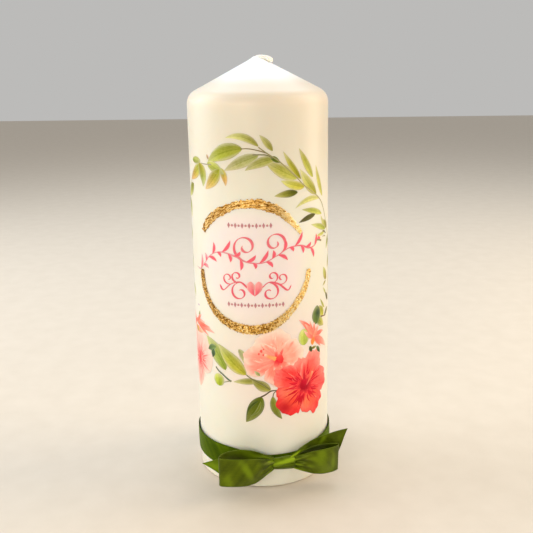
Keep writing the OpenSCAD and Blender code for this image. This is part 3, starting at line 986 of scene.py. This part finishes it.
    # round leaves and buds
    art.leaf((24, 80.3), (23.8, 89.6), 7.4, 0.0, (186, 196, 90), (208, 212, 112), 2, shape="oval")
    art.leaf((-26, 57.4), (-26, 64.6), 7.4, 0.0, (170, 184, 58), (202, 208, 92), 2, shape="oval")
    art.leaf((-43.3, 179), (-34.7, 179), 3.7, 0.3, (148, 158, 62), (160, 166, 70), 4, shape="oval",
             blots=[(-39, 179.6, 2.4, 0.8, 0, (206, 210, 126), 0.8)])
    art.leaf((-29.2, 182.8), (-27.8, 180.4), 1.5, 0.0, (214, 180, 160), (176, 140, 118), 1, shape="oval")
    art.leaf((28.1, 78.6), (29.6, 75.2), 2.3, 0.0, (84, 92, 30), (66, 72, 32), 12, shape="oval")
    art.leaf((34, 76.8), (37.4, 72.6), 2.4, 0.0, (104, 118, 72), (72, 78, 40), 12)
    art.leaf((29.4, 77), (33.6, 77.2), 1.5, 0.0, (120, 116, 30), (150, 140, 60), 11)
    art.build("print_leaves", print_material("ink_leaves", "leaf", 0.42))


def print_stems():
    art = Art()
    art.stroke([(0, 187), (4, 184), (10, 180), (15, 175.5), (20, 171), (24, 167), (30, 163), (36, 159),
                (40, 155), (44, 148), (47, 142), (50, 137), (53, 129), (54, 119), (53, 108), (51, 99)],
               0.6, 0.45, (140, 136, 84), 5, c1=(198, 190, 138))
    art.stroke([(-9, 186.2), (-5, 186.3), (0, 185.3), (4, 184)], 0.5, 0.6, (128, 118, 78), 5)
    art.stroke([(-3, 183.3), (0, 183.3), (4, 183), (7, 181.5)], 0.6, 0.7, (120, 120, 76), 5)
    art.stroke([(-26, 178), (-30, 177.8), (-34, 178.1)], 0.6, 0.4, (160, 158, 130), 5)
    art.stroke([(-34, 178), (-42, 173), (-49, 165), (-54, 155), (-57, 142), (-57, 128), (-55, 114),
                (-50, 101)], 0.4, 0.45, (168, 164, 110), 0, c1=(176, 172, 120))
    art.stroke([(45.5, 138), (43.5, 139.4), (41, 140)], 0.7, 0.9, (110, 100, 50), 6)
    art.stroke([(39, 135.3), (36.5, 136.1), (33.8, 136.4)], 1.1, 0.5, (144, 132, 92), 6)
    art.stroke([(45, 136.5), (43, 137.1), (41, 137)], 0.7, 0.5, (176, 160, 120), 6)
    art.stroke([(-28, 68), (-26, 66.2), (-23, 64.6), (-20, 62.6), (-17.8, 61.6)], 0.8, 1.1, (84, 108, 84), 6)
    art.stroke([(-22.6, 60.2), (-20, 61.2), (-17.6, 61.9)], 0.4, 0.6, (150, 150, 110), 6)
    art.stroke([(-9, 66.5), (-6.5, 64.6), (-4, 63.3), (0, 61), (3.4, 58.2)], 0.6, 0.7, (110, 110, 44), 6)
    art.stroke([(-1.4, 54), (1, 55.2), (4, 57.2), (7.4, 57.4)], 0.9, 0.6, (92, 84, 56), 6)
    art.stroke([(7.4, 57.4), (5.6, 55.8), (5, 53.6)], 0.5, 0.5, (92, 84, 56), 6)
    art.stroke([(38.5, 92.8), (42, 92.2), (45.5, 91.6)], 0.9, 0.5, (120, 92, 44), 6)
    art.build("print_stems", print_material("ink_stems", "line", 0.4))


def throat(art, centre, spokes, bend, root, tone, layer, belly):
    """Dark strokes out from a flower's middle: (angle in degrees, length, width)."""
    for angle, reach, width in spokes:
        tip = polar(centre, math.radians(angle), reach)
        art.leaf(centre, tip, width, bend, root, tone, layer, belly=belly, half=0.0)


def print_flowers():
    peach = Art()
    c = (8.5, 75)
    peach.petal(c, [(-6, 78), (-5, 84), (-1, 89), (5, 91.8), (12, 90.6), (15.5, 86), (14.5, 79)], "coral",
                (253, 190, 168), (252, 212, 196), 1, ruffle=0.8)
    peach.petal(c, [(12, 84), (16, 85.6), (20.5, 83), (23.2, 78), (22.6, 72), (16, 69)], "coral",
                (253, 182, 160), (252, 200, 184), 2, ruffle=0.8)
    peach.petal(c, [(8, 81), (2, 84), (-4, 84), (-9.6, 79), (-10.4, 72), (-8, 67), (-3, 65.2), (1, 67)],
                "coral", (252, 162, 144), (252, 160, 142), 3, ruffle=0.9,
                blots=[(-6, 69, 5, 2.4, 12, (250, 126, 110), 0.6), (-1, 82, 4, 3, 0, (253, 206, 184), 0.7),
                       (-9.5, 74, 1.2, 4, 0, (250, 140, 124), 0.5),
                       (0.5, 69, 2.2, 2.0, 0, (248, 120, 104), 0.5)])
    peach.petal(c, [(1, 68.5), (1, 64), (4, 61), (7, 60), (10, 62), (14, 68), (15, 72)], "red",
                (252, 146, 126), (252, 156, 138), 4, ruffle=0.7)
    dice = rng(9)
    for k in range(26):
        turn = dice.uniform(0, 2 * math.pi)
        near, far = dice.uniform(3.5, 9), dice.uniform(10, 14.5)
        ray = np.array([math.cos(turn), math.sin(turn)])
        tone = ((253, 164, 144), (254, 212, 192), (252, 152, 134))[k % 3]
        peach.leaf(c + ray * near, c + ray * far, dice.uniform(0.5, 1.5), dice.uniform(-1.0, 1.0),
                   (253, 168, 148), tone, 5, belly=0.5, half=0.0, n=14, m=5)
    spokes = ((66, 8.2, 1.5), (112, 6.4, 2.0), (245, 6.6, 3.0), (290, 5.4, 1.7), (20, 3.5, 1.5))
    throat(peach, c, spokes, 0.0, (232, 44, 58), (253, 150, 132), 6, 0.3)
    peach.leaf((10.2, 72.6), (8.4, 79.2), 3.4, 0.0, (236, 58, 62), (250, 92, 84), 7, half=0.05)
    peach.stroke([(7, 75.4), (4, 76.6), (1, 78.2)], 2.4, 1.3, "yellow", 8, c1=(255, 160, 110))
    for a, z, d in ((-0.6, 80.2, 1.7), (-1.9, 78.6, 1.3), (0.4, 78.0, 1.1), (0.6, 81.2, 0.9)):
        peach.leaf((a - d / 2, z), (a + d / 2, z), d, 0.0, (248, 104, 96), "coral", 9, shape="oval")
    peach.build("flower_peach", print_material("ink_peach", "petal", 0.8))

    coral = Art()
    c = (24, 57.5)
    coral.petal(c, [(21, 64), (22, 70), (25, 73.6), (29, 75.7), (33.5, 75.5), (36.8, 72.5), (37.8, 68),
                    (36.4, 62.5)], "crimson", (255, 112, 100), (254, 140, 126), 11, ruffle=1.1,
                blots=[(29, 63, 2.6, 2.2, 40, "orange", 0.6), (35, 70, 3, 5, 0, (252, 150, 136), 0.5)])
    coral.petal(c, [(8, 58.5), (5.6, 62), (6, 66), (9, 69.3), (13, 70.7), (17, 69.4), (20.4, 65.5),
                    (22, 62)], "crimson", (252, 84, 80), (254, 104, 96), 12, ruffle=1.3,
                blots=[(13, 67, 4, 2, -30, (248, 64, 60), 0.6), (8.5, 60.5, 3, 2, 0, (255, 120, 92), 0.6)])
    coral.petal(c, [(33, 64), (37.5, 64.5), (41.5, 62), (43.8, 58), (43.3, 53.5), (40.5, 50.3), (36.5, 49.8),
                    (32.5, 50.8)],
                "crimson", (254, 100, 92), (253, 96, 92), 13, ruffle=1.1,
                blots=[(41, 53, 3, 3, 0, (240, 70, 72), 0.6), (39, 60, 4, 2, 20, (253, 138, 120), 0.7)])
    coral.petal(c, [(8, 58.6), (6.6, 55), (7, 50), (8.2, 46), (10.5, 43.6), (14, 42.5), (17.5, 41.3),
                    (20.3, 42.6), (21.4, 46.5), (23, 52)],
                "red", (255, 104, 78), (246, 52, 56), 14, ruffle=1.2,
                blots=[(11.5, 46.6, 4.4, 3.6, 20, (196, 8, 30), 0.95),
                       (13.5, 55, 5, 2.6, -15, (255, 136, 100), 0.85),
                       (18, 44.5, 3, 2.4, 0, (240, 40, 48), 0.6),
                       (18, 50.5, 3.5, 2, 20, (250, 74, 44), 0.7)])
    coral.petal(c, [(33, 51.2), (37.2, 49.8), (38.2, 46.6), (36.6, 43.2), (34, 40), (31, 38.6), (28.4, 40.2),
                    (25, 39.8), (22.4, 42.2), (20.6, 46), (21.4, 50)],
                "red", (255, 110, 82), (248, 68, 66), 15, ruffle=1.2,
                blots=[(25, 47, 3.6, 4, 0, (255, 140, 96), 0.7), (34, 43, 2.2, 3, 0, (238, 48, 50), 0.7),
                       (36, 47, 1.6, 2.6, 0, (250, 92, 84), 0.6)])
    coral.petal(c, [(15.5, 66), (16.6, 70.4), (19.4, 72.6), (22.4, 73.8), (25, 71), (26.4, 67)], "crimson",
                (252, 104, 92), (253, 134, 120), 10, ruffle=1.2)
    # veins and folds that run out along the petals
    dice = rng(5)
    for k in range(56):
        turn = dice.uniform(0, 360)
        near, far = dice.uniform(3.0, 6), dice.uniform(9.5, 15)
        ray = np.array([math.cos(math.radians(turn)), math.sin(math.radians(turn))])
        tone = ((212, 18, 46), (254, 124, 106), (232, 40, 56), (240, 62, 64))[k % 4]
        if 195 < turn < 262:
            tone = (206, 16, 36)
        coral.leaf(c + ray * near, c + ray * far, dice.uniform(0.6, 1.4), dice.uniform(-0.8, 0.8),
                   (214, 18, 52), tone, 16, belly=0.36, half=0.0, n=14, m=5)
    dice = rng(7)
    for k in range(22):
        angle = math.radians(k * 360 / 22 + dice.uniform(-7, 7))
        reach = dice.uniform(4.2, 8.6) if k != 6 else 13.2
        tip = polar(c, angle, reach)
        coral.leaf(c, tip, dice.uniform(1.0, 2.3), dice.uniform(-0.4, 0.4), (186, 0, 44), (249, 74, 74),
                   17 + k % 2, belly=0.34, half=0.0, blots=[(c[0], c[1], 3.4, 3.4, 0, (168, 0, 40), 0.8)])
    coral.leaf((22.6, 54.8), (25.0, 60.8), 4.4, 0.4, (170, 0, 38), (204, 10, 50), 19, half=0.0, shape="oval")
    coral.stroke([(25.2, 57.0), (27.4, 59.4), (29.2, 61.8), (30.2, 63.6)], 0.8, 1.8, (232, 84, 96), 20,
                 c1=(255, 150, 92))
    coral.build("flower_coral", print_material("ink_coral", "petal", 0.22, (0.90, 0.42, 0.48)))

    pink = Art()
    c = (-44.5, 68.5)
    pink.petal(c, [(-34, 81), (-38, 85.5), (-44, 86.5), (-49, 83), (-50, 78)], "coral", (253, 204, 192),
               (252, 214, 204), 1)
    pink.petal(c, [(-40, 62), (-36, 61.5), (-32, 65), (-30.5, 71), (-32.5, 77), (-35, 81.4), (-39, 80)],
               "coral", (253, 206, 194), (252, 210, 200), 2)
    pink.petal(c, [(-52, 63), (-51.5, 56), (-48.5, 51.6), (-45, 51.4), (-42, 54.6), (-39.8, 60),
                   (-39.4, 64)], "coral", (252, 188, 176), (251, 178, 168), 3,
               blots=[(-45.4, 56, 1.6, 4, 0, (246, 150, 144), 0.7)])
    pink.petal(c, [(-50, 61), (-55, 60), (-59.5, 64), (-60.4, 70), (-57, 74.6), (-51, 75)], "coral",
               (252, 190, 180), (250, 178, 168), 4)
    pink.petal(c, [(-51, 73), (-57, 77), (-57.4, 82.5), (-53, 86), (-48.6, 84), (-46, 78)], "coral",
               (252, 196, 186), (252, 190, 178), 5)
    for k in range(30):
        ray = np.array([math.cos(k * 0.21), math.sin(k * 0.21)])
        pink.leaf(c + ray * 3, c + ray * (9 + 4 * math.sin(k * 2.3) ** 2), 0.8, 0.4 * math.sin(3.1 * k),
                  (246, 104, 104), ((252, 168, 158), (253, 216, 206))[k % 2], 6, belly=0.35, half=0.0,
                  n=14, m=5)
    spokes = ((76, 6.6, 2.6), (110, 6.4, 1.8), (200, 5.4, 1.8), (252, 7.0, 2.4), (300, 5.0, 1.8))
    throat(pink, c, spokes, 0.2, (236, 64, 74), (250, 140, 138), 7, 0.36)
    pink.build("flower_pink", print_material("ink_pink", "petal", 0.6))

    side = Art()
    # right: a flower seen from the side, opening upwards to the left and down to the right
    tips = [((20.6, 95.2), 3.4, -1.2), ((24.6, 92.2), 2.6, -0.3), ((24.0, 88.4), 2.4, 0.5),
            ((28.4, 93.0), 2.4, 0.4), ((32.2, 91.4), 2.6, 0.3), ((36.4, 88.8), 2.8, 0.5),
            ((41.4, 84.0), 3.0, 0.8), ((39.6, 79.6), 2.8, 0.6), ((45.2, 73.6), 3.8, 1.0),
            ((38.2, 75.8), 2.4, 0.4)]
    for k, (tip, width, bend) in enumerate(tips):
        root = ((249, 118, 102), (252, 146, 116))[k % 2]
        tone = ((250, 134, 118), (251, 156, 138), (252, 180, 164))[k % 3]
        side.leaf((31.2, 82.6), tip, width, bend, root, tone, 9 + k % 3, half=0.1)
    side.leaf((30.2, 78.8), (31.6, 84.4), 3.0, 0.2, (255, 150, 60), "orange", 12, half=0.0)
    # left: the same kind, lying over the pink one
    side.leaf((-50, 89.0), (-28, 87.2), 3.6, 0.9, (250, 118, 100), (251, 160, 146), 8, half=0.08)
    side.leaf((-50, 89.5), (-36.5, 91.4), 3.4, -0.3, (250, 128, 108), (252, 176, 158), 9)
    side.leaf((-48, 89.5), (-33.0, 84.2), 2.4, 0.8, (248, 108, 92), (251, 140, 122), 10)
    side.leaf((-48, 88.5), (-31.6, 89.6), 2.2, 0.3, (252, 140, 116), (249, 112, 98), 11)
    side.leaf((-46, 90.0), (-40.5, 94.6), 2.2, 0.3, (250, 120, 100), (252, 160, 140), 10)
    side.leaf((-50.5, 86.2), (-37.5, 85.6), 3.2, -0.8, (252, 150, 112), (253, 190, 160), 10)
    side.leaf((-50, 88.5), (-60, 92.5), 4.2, 0.4, (250, 110, 96), (251, 160, 140), 9)
    side.leaf((-50, 88), (-59, 84.6), 4.0, -0.6, (252, 140, 110), (251, 130, 112), 8)
    side.leaf((-46.5, 86.6), (-47.6, 83.2), 3.4, 0.0, (205, 170, 80), (150, 160, 70), 11, shape="oval")
    side.build("side_flowers", print_material("ink_side", "petal", 0.5))


def curl(start, centre, turns):
    """A spiral from a point on a stem, winding in to a fifth of its reach round its own centre."""
    dx, dz = start[0] - centre[0], start[1] - centre[1]
    first = math.atan2(dz, dx)
    reach = math.hypot(dx, dz)
    out = []
    for k in range(40):
        t = k / 39
        angle = first + turns * 2 * math.pi * t
        size = reach * (1 + (0.2 - 1) * t ** 0.85)
        out.append(polar(centre, angle, size))
    return out


def print_flourish():
    """A vine of pen curls and a heart inside the ring, with a row of beads above and below."""
    art = Art()
    nib = math.radians(28)
    stem = [(-43, 121.6), (-38.5, 121.4), (-34, 125.4), (-29, 130.4), (-22, 133.0), (-14, 131.6),
            (-7, 128.6), (1, 128.2), (8, 131.4), (15, 135.2), (22, 135.6), (28, 133.4), (33, 134.4),
            (36, 138.6)]
    art.stroke(stem, 0.5, 1.2, "faded", 2, nib, "script", n=240)
    line = smooth_curve(stem, 300)
    for k, share in enumerate(np.linspace(0.06, 0.97, 24)):
        at = line[int(share * 299)]
        run = line[min(int(share * 299) + 3, 299)] - line[max(int(share * 299) - 3, 0)]
        up = 1 if k % 2 == 0 else -1
        heading = math.atan2(run[1], run[0]) + up * math.radians(52 if up > 0 else 60)
        reach = (7.6 if up > 0 else 5.6) * (0.85 + 0.3 * math.sin(2.1 * k + 1))
        tip = polar(at, heading, reach)
        tone = "script" if share > 0.15 else "faded"
        art.leaf(at, tip, 2.0, -up * 0.9, "script", tone, 3, belly=0.5, half=0.0)
    for start, centre, turns in (((-9, 129.4), (-7.8, 136.6), -1.3), ((8.6, 131.7), (7.4, 138.4), 1.3)):
        art.stroke(curl(start, centre, turns), 0.4, 1.6, "script", 2, nib, (236, 124, 136), n=110)
    for side in (-1, 1):
        x = -3.4
        art.stroke([(x + side * 3.4, 114.6), (x + side * 7.5, 117.8), (x + side * 12.5, 116.6),
                    (x + side * 17.4, 112.8), (x + side * 19.6, 115.4)], 0.45, 1.2, "script", 2, nib, n=80)
        for start, centre, turns, width, n in (((7.5, 117.8), (9.4, 120.8), 1.2, 1.2, 70),
                                               ((7.5, 117.8), (7.8, 112.2), -1.1, 1.3, 80),
                                               ((12.5, 116.6), (14.4, 119.6), 1.1, 1.0, 60)):
            start = (x + side * start[0], start[1])
            centre = (x + side * centre[0], centre[1])
            art.stroke(curl(start, centre, side * turns), 0.4, width, "script", 2, nib, n=n)
        art.leaf((x, 110.4), (x + side * 2.0, 118.4), 4.2, -side * 0.8, "script", (250, 160, 160), 3,
                 belly=0.66, point=0.62)
    for z, low, high in ((147.6, -16.5, 5.5), (105.4, -17.8, 11.4)):
        count = 13 if z > 120 else 17
        for k in range(count):
            a = low + (high - low) * k / (count - 1)
            if k % 2:
                art.leaf((a - 0.65, z), (a + 0.65, z), 1.3, 0.0, "mauve", "mauve", 1, shape="oval",
                         half=0.0, n=12)
            else:
                art.leaf((a, z - 1.5), (a, z + 1.5), 1.7, 0.0, "mauve", (180, 120, 128), 1, shape="diamond",
                         half=0.0, n=12)
    art.leaf((-45, 99.5), (-42, 99.7), 0.9, 0.0, (206, 176, 196), (216, 190, 206), 1, half=0.0)
    art.build("print_flourish", print_material("ink_script", "line", 0.35))


# ---------------------------------------------------------------- gold leaf
LEAF_R = R + 0.13 * MM                           # underside of the gold
FLAKE_TOP = LEAF_R + 0.26 * MM                   # highest flake that the ribbon can slide over


def gold_material(name, rough, flakes):
    """Gold leaf, crumpled along its arc or broken into flakes, with reflections painted into its colour:
    dark and pale streaks or flakes, and a painted reflection that takes it from bronze at the left to pale
    at the right.
    """
    m = Nodes(name)
    x, _, z = m.split(m.coords())
    up = m.minus(z, RING_Z)
    far = m.distance(x, up)
    round_it = m.times(m.math("ARCTAN2", up, x), RING_R)
    if flakes:
        pick, _, _ = m.split(m.cells(1500, output="Color"))
    else:
        crumple = m.math("MULTIPLY_ADD", round_it, 420.0, m.times(far, 520.0))
        crumple = m.join(crumple, m.times(far, 1500.0))
        pick = m.span(m.noise(1.0, 5, 0.62, crumple, 1.6), 0.36, 0.64)
    broad = m.noise(150, 3, 0.6)
    # the ramps paint reflections into the gold, from near-black shade to pale highlights
    if flakes:
        deep = [(0.0, (0.20, 0.085, 0.008)), (0.34, (0.50, 0.25, 0.040)), (0.68, (0.80, 0.50, 0.14))]
    else:
        deep = [(0.0, (0.10, 0.036, 0.003)), (0.34, (0.42, 0.18, 0.022)), (0.62, (0.84, 0.47, 0.10))]
    deep = m.ramp(pick, deep + [(1.0, (0.97, 0.76, 0.38))])
    pale = m.ramp(pick, [(0.0, (0.70, 0.40, 0.10)), (0.45, (0.95, 0.67, 0.24)), (1.0, (1.0, 0.89, 0.56))])
    # painted reflection: the gold goes paler towards the right
    tone = m.mix(m.span(x, 0.009, 0.020), deep, pale)
    tone = m.mix(m.span(broad, 0.52, 0.72, 0.0, 0.4), tone, (0.36, 0.17, 0.02))
    m.set(Base_Color=tone, Metallic=0.92, Roughness=m.span(pick, 0.0, 1.0, rough, rough + 0.16))
    height = m.noise(1900, 4, 0.7) if flakes else pick
    m.set(Normal=m.bump(height, 0.00008, 0.7))
    return m.mat


def smooth_noise(seed, n, m, wide):
    """A random field on a grid, evened out over a number of cells."""
    field = rng(seed).normal(0, 1, (n, m))
    for _ in range(wide):
        even_out(field, 1)
        even_out(field.T, 1)
    return field / field.std()


def on_ring(angle, radius, r):
    a = -ART_X + radius * np.cos(angle) / MM
    z = (RING_Z + radius * np.sin(angle)) / MM
    return wrap(a, z, r)


def gold_strip(angle, radius, relief):
    """Closed mesh of a strip of leaf on the ring, flat underneath. Returns its vertices and faces."""
    angle = angle[:, None]
    return slab(on_ring(angle, radius, LEAF_R + relief), on_ring(angle, radius, LEAF_R))


def make_gold():
    # upper arc: crumpled leaf with a torn edge
    n, m = 420, 16
    angle = np.radians(np.linspace(150.5, 31, n))
    share = np.linspace(0, 1, n)
    width = np.interp(share, [0, 0.04, 0.12, 0.3, 0.42, 0.58, 0.72, 0.85, 0.95, 1],
                      [2.8, 3.8, 4.6, 4.6, 3.8, 5.2, 4.6, 3.4, 2.8, 1.4]) * MM
    tear_out = 0.17 * MM * smooth_noise(11, n, 3, 2)[:, 1] + 0.32 * MM * smooth_noise(12, n, 3, 14)[:, 1]
    tear_in = 0.12 * MM * smooth_noise(13, n, 3, 2)[:, 1] + 0.26 * MM * smooth_noise(14, n, 3, 14)[:, 1]
    mid = np.interp(share, [0, 0.10, 0.28, 0.44, 0.58, 0.75, 0.86, 1],
                    [33.8, 33.5, 32.5, 33.0, 32.9, 31.9, 31.0, 31.2]) * MM
    v = np.linspace(0, 1, m)
    inner = mid - width / 2 + tear_in
    outer = mid + width / 2 + tear_out
    radius = inner[:, None] + (outer - inner)[:, None] * v[None, :]
    shear = smooth_noise(16, n + m, m, 4)
    creases = np.array([[shear[i + 2 * j // 2, j] for j in range(m)] for i in range(n)])
    ridges = 1 - np.abs(np.clip(creases, -1.5, 1.5)) / 0.75
    relief = 0.008 * MM * smooth_noise(15, n, m, 1) + 0.055 * MM * ridges
    thin_edges = (0.35 + 0.65 * np.sin(math.pi * v) ** 0.4)[None, :]
    relief = np.clip(relief + 0.09 * MM, 0.01 * MM, 0.21 * MM) * thin_edges
    verts, faces = gold_strip(angle, radius, relief)
    foil = new_object("gold_upper", verts, faces, gold_material("gold_foil", 0.26, False))
    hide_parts("gold_leaf_upper")
    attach(foil, "candle")

    # lower arc: a strip of size with flakes pressed into it
    n, m = 460, 12
    angle = np.radians(np.linspace(188, 353, n))
    share = np.linspace(0, 1, n)
    width = np.interp(share, [0, 0.03, 0.2, 0.32, 0.45, 0.58, 0.7, 0.85, 1],
                      [2.8, 3.6, 3.6, 4.2, 4.9, 4.8, 3.9, 3.6, 2.6]) * MM
    ragged = 0.34 * MM * smooth_noise(21, n, 3, 1)[:, 1]
    mid = np.interp(share, [0, 0.1, 0.18, 0.27, 0.39, 0.49, 0.59, 0.66, 0.72, 0.8, 0.9, 1],
                    [32.4, 33.7, 34.2, 34.3, 34.1, 34.0, 33.7, 32.7, 32.1, 31.7, 32.2, 32.2]) * MM
    v = np.linspace(0, 1, m)
    radius = mid[:, None] + (v[None, :] - 0.5) * (width + ragged)[:, None]
    relief = np.clip(0.05 * MM + 0.025 * MM * smooth_noise(22, n, m, 1), 0.01 * MM, 0.12 * MM)
    verts, faces = gold_strip(angle[::-1], radius[::-1], relief[::-1])
    parts, all_faces, count = [verts], list(faces), len(verts)
    dice = rng(23)
    for _ in range(3400):
        at = dice.random()
        size = dice.uniform(0.12, 0.30) * MM
        a = math.radians(188 + 165 * at)
        wide = np.interp(at, share, width)
        rad = np.interp(at, share, mid) + dice.uniform(-0.5, 0.5) * wide * dice.choice([1.0, 1.2])
        centre = on_ring(a, rad, LEAF_R + dice.uniform(0.05, 0.15) * MM)
        out = np.array([centre[0], centre[1], 0.0])
        out /= np.linalg.norm(out)
        normal = out + dice.normal(0, 0.28, 3)
        normal /= np.linalg.norm(normal)
        e1 = np.cross(normal, [0, 0, 1.0])
        e1 /= np.linalg.norm(e1)
        e2 = np.cross(normal, e1)
        sides = 5
        spin = dice.uniform(0, 2 * math.pi) + np.arange(sides) * 2 * math.pi / sides
        reach = size * dice.uniform(0.7, 1.15, sides)
        loop = centre + (np.cos(spin) * reach)[:, None] * e1 + (np.sin(spin) * reach)[:, None] * e2
        high = np.hypot(loop[:, 0], loop[:, 1])
        loop[:, :2] *= np.minimum(1, FLAKE_TOP / high)[:, None]
        parts += [loop + normal * 0.018 * MM, loop - normal * 0.018 * MM]
        all_faces.append(tuple(count + k for k in range(sides)))
        all_faces.append(tuple(count + sides + k for k in range(sides - 1, -1, -1)))
        for k in range(sides):
            k2 = (k + 1) % sides
            all_faces.append((count + k2, count + k, count + sides + k, count + sides + k2))
        count += 2 * sides
    glitter = new_object("gold_lower", np.concatenate(parts), all_faces,
                         gold_material("gold_flakes", 0.22, True), smooth=False)
    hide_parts("gold_leaf_lower")
    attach(glitter, "candle")


make_camera()
make_floor()
make_light()
make_coat()
make_wick()
for node_name, material in (("wax_core", core_material()), ("wick_stem", cotton_material("wick_core"))):
    slots = frame["nodes"][node_name].data.materials
    slots.clear()
    slots.append(material)
# lit and shaded copies of one satin: the second number paints each part's ribbon lighter or darker
satin = satin_material("satin_green", -0.12)
satin_painted_lit = satin_material("satin_green_painted_lit", 0.6)
make_band(satin_material("satin_green_band", 0.42, 0.02))
make_bow(satin)
make_knot(satin_material("satin_green_knot", 0.12))
make_tails(satin, satin_painted_lit)
print_leaves()
print_stems()
print_flowers()
print_flourish()
make_gold()
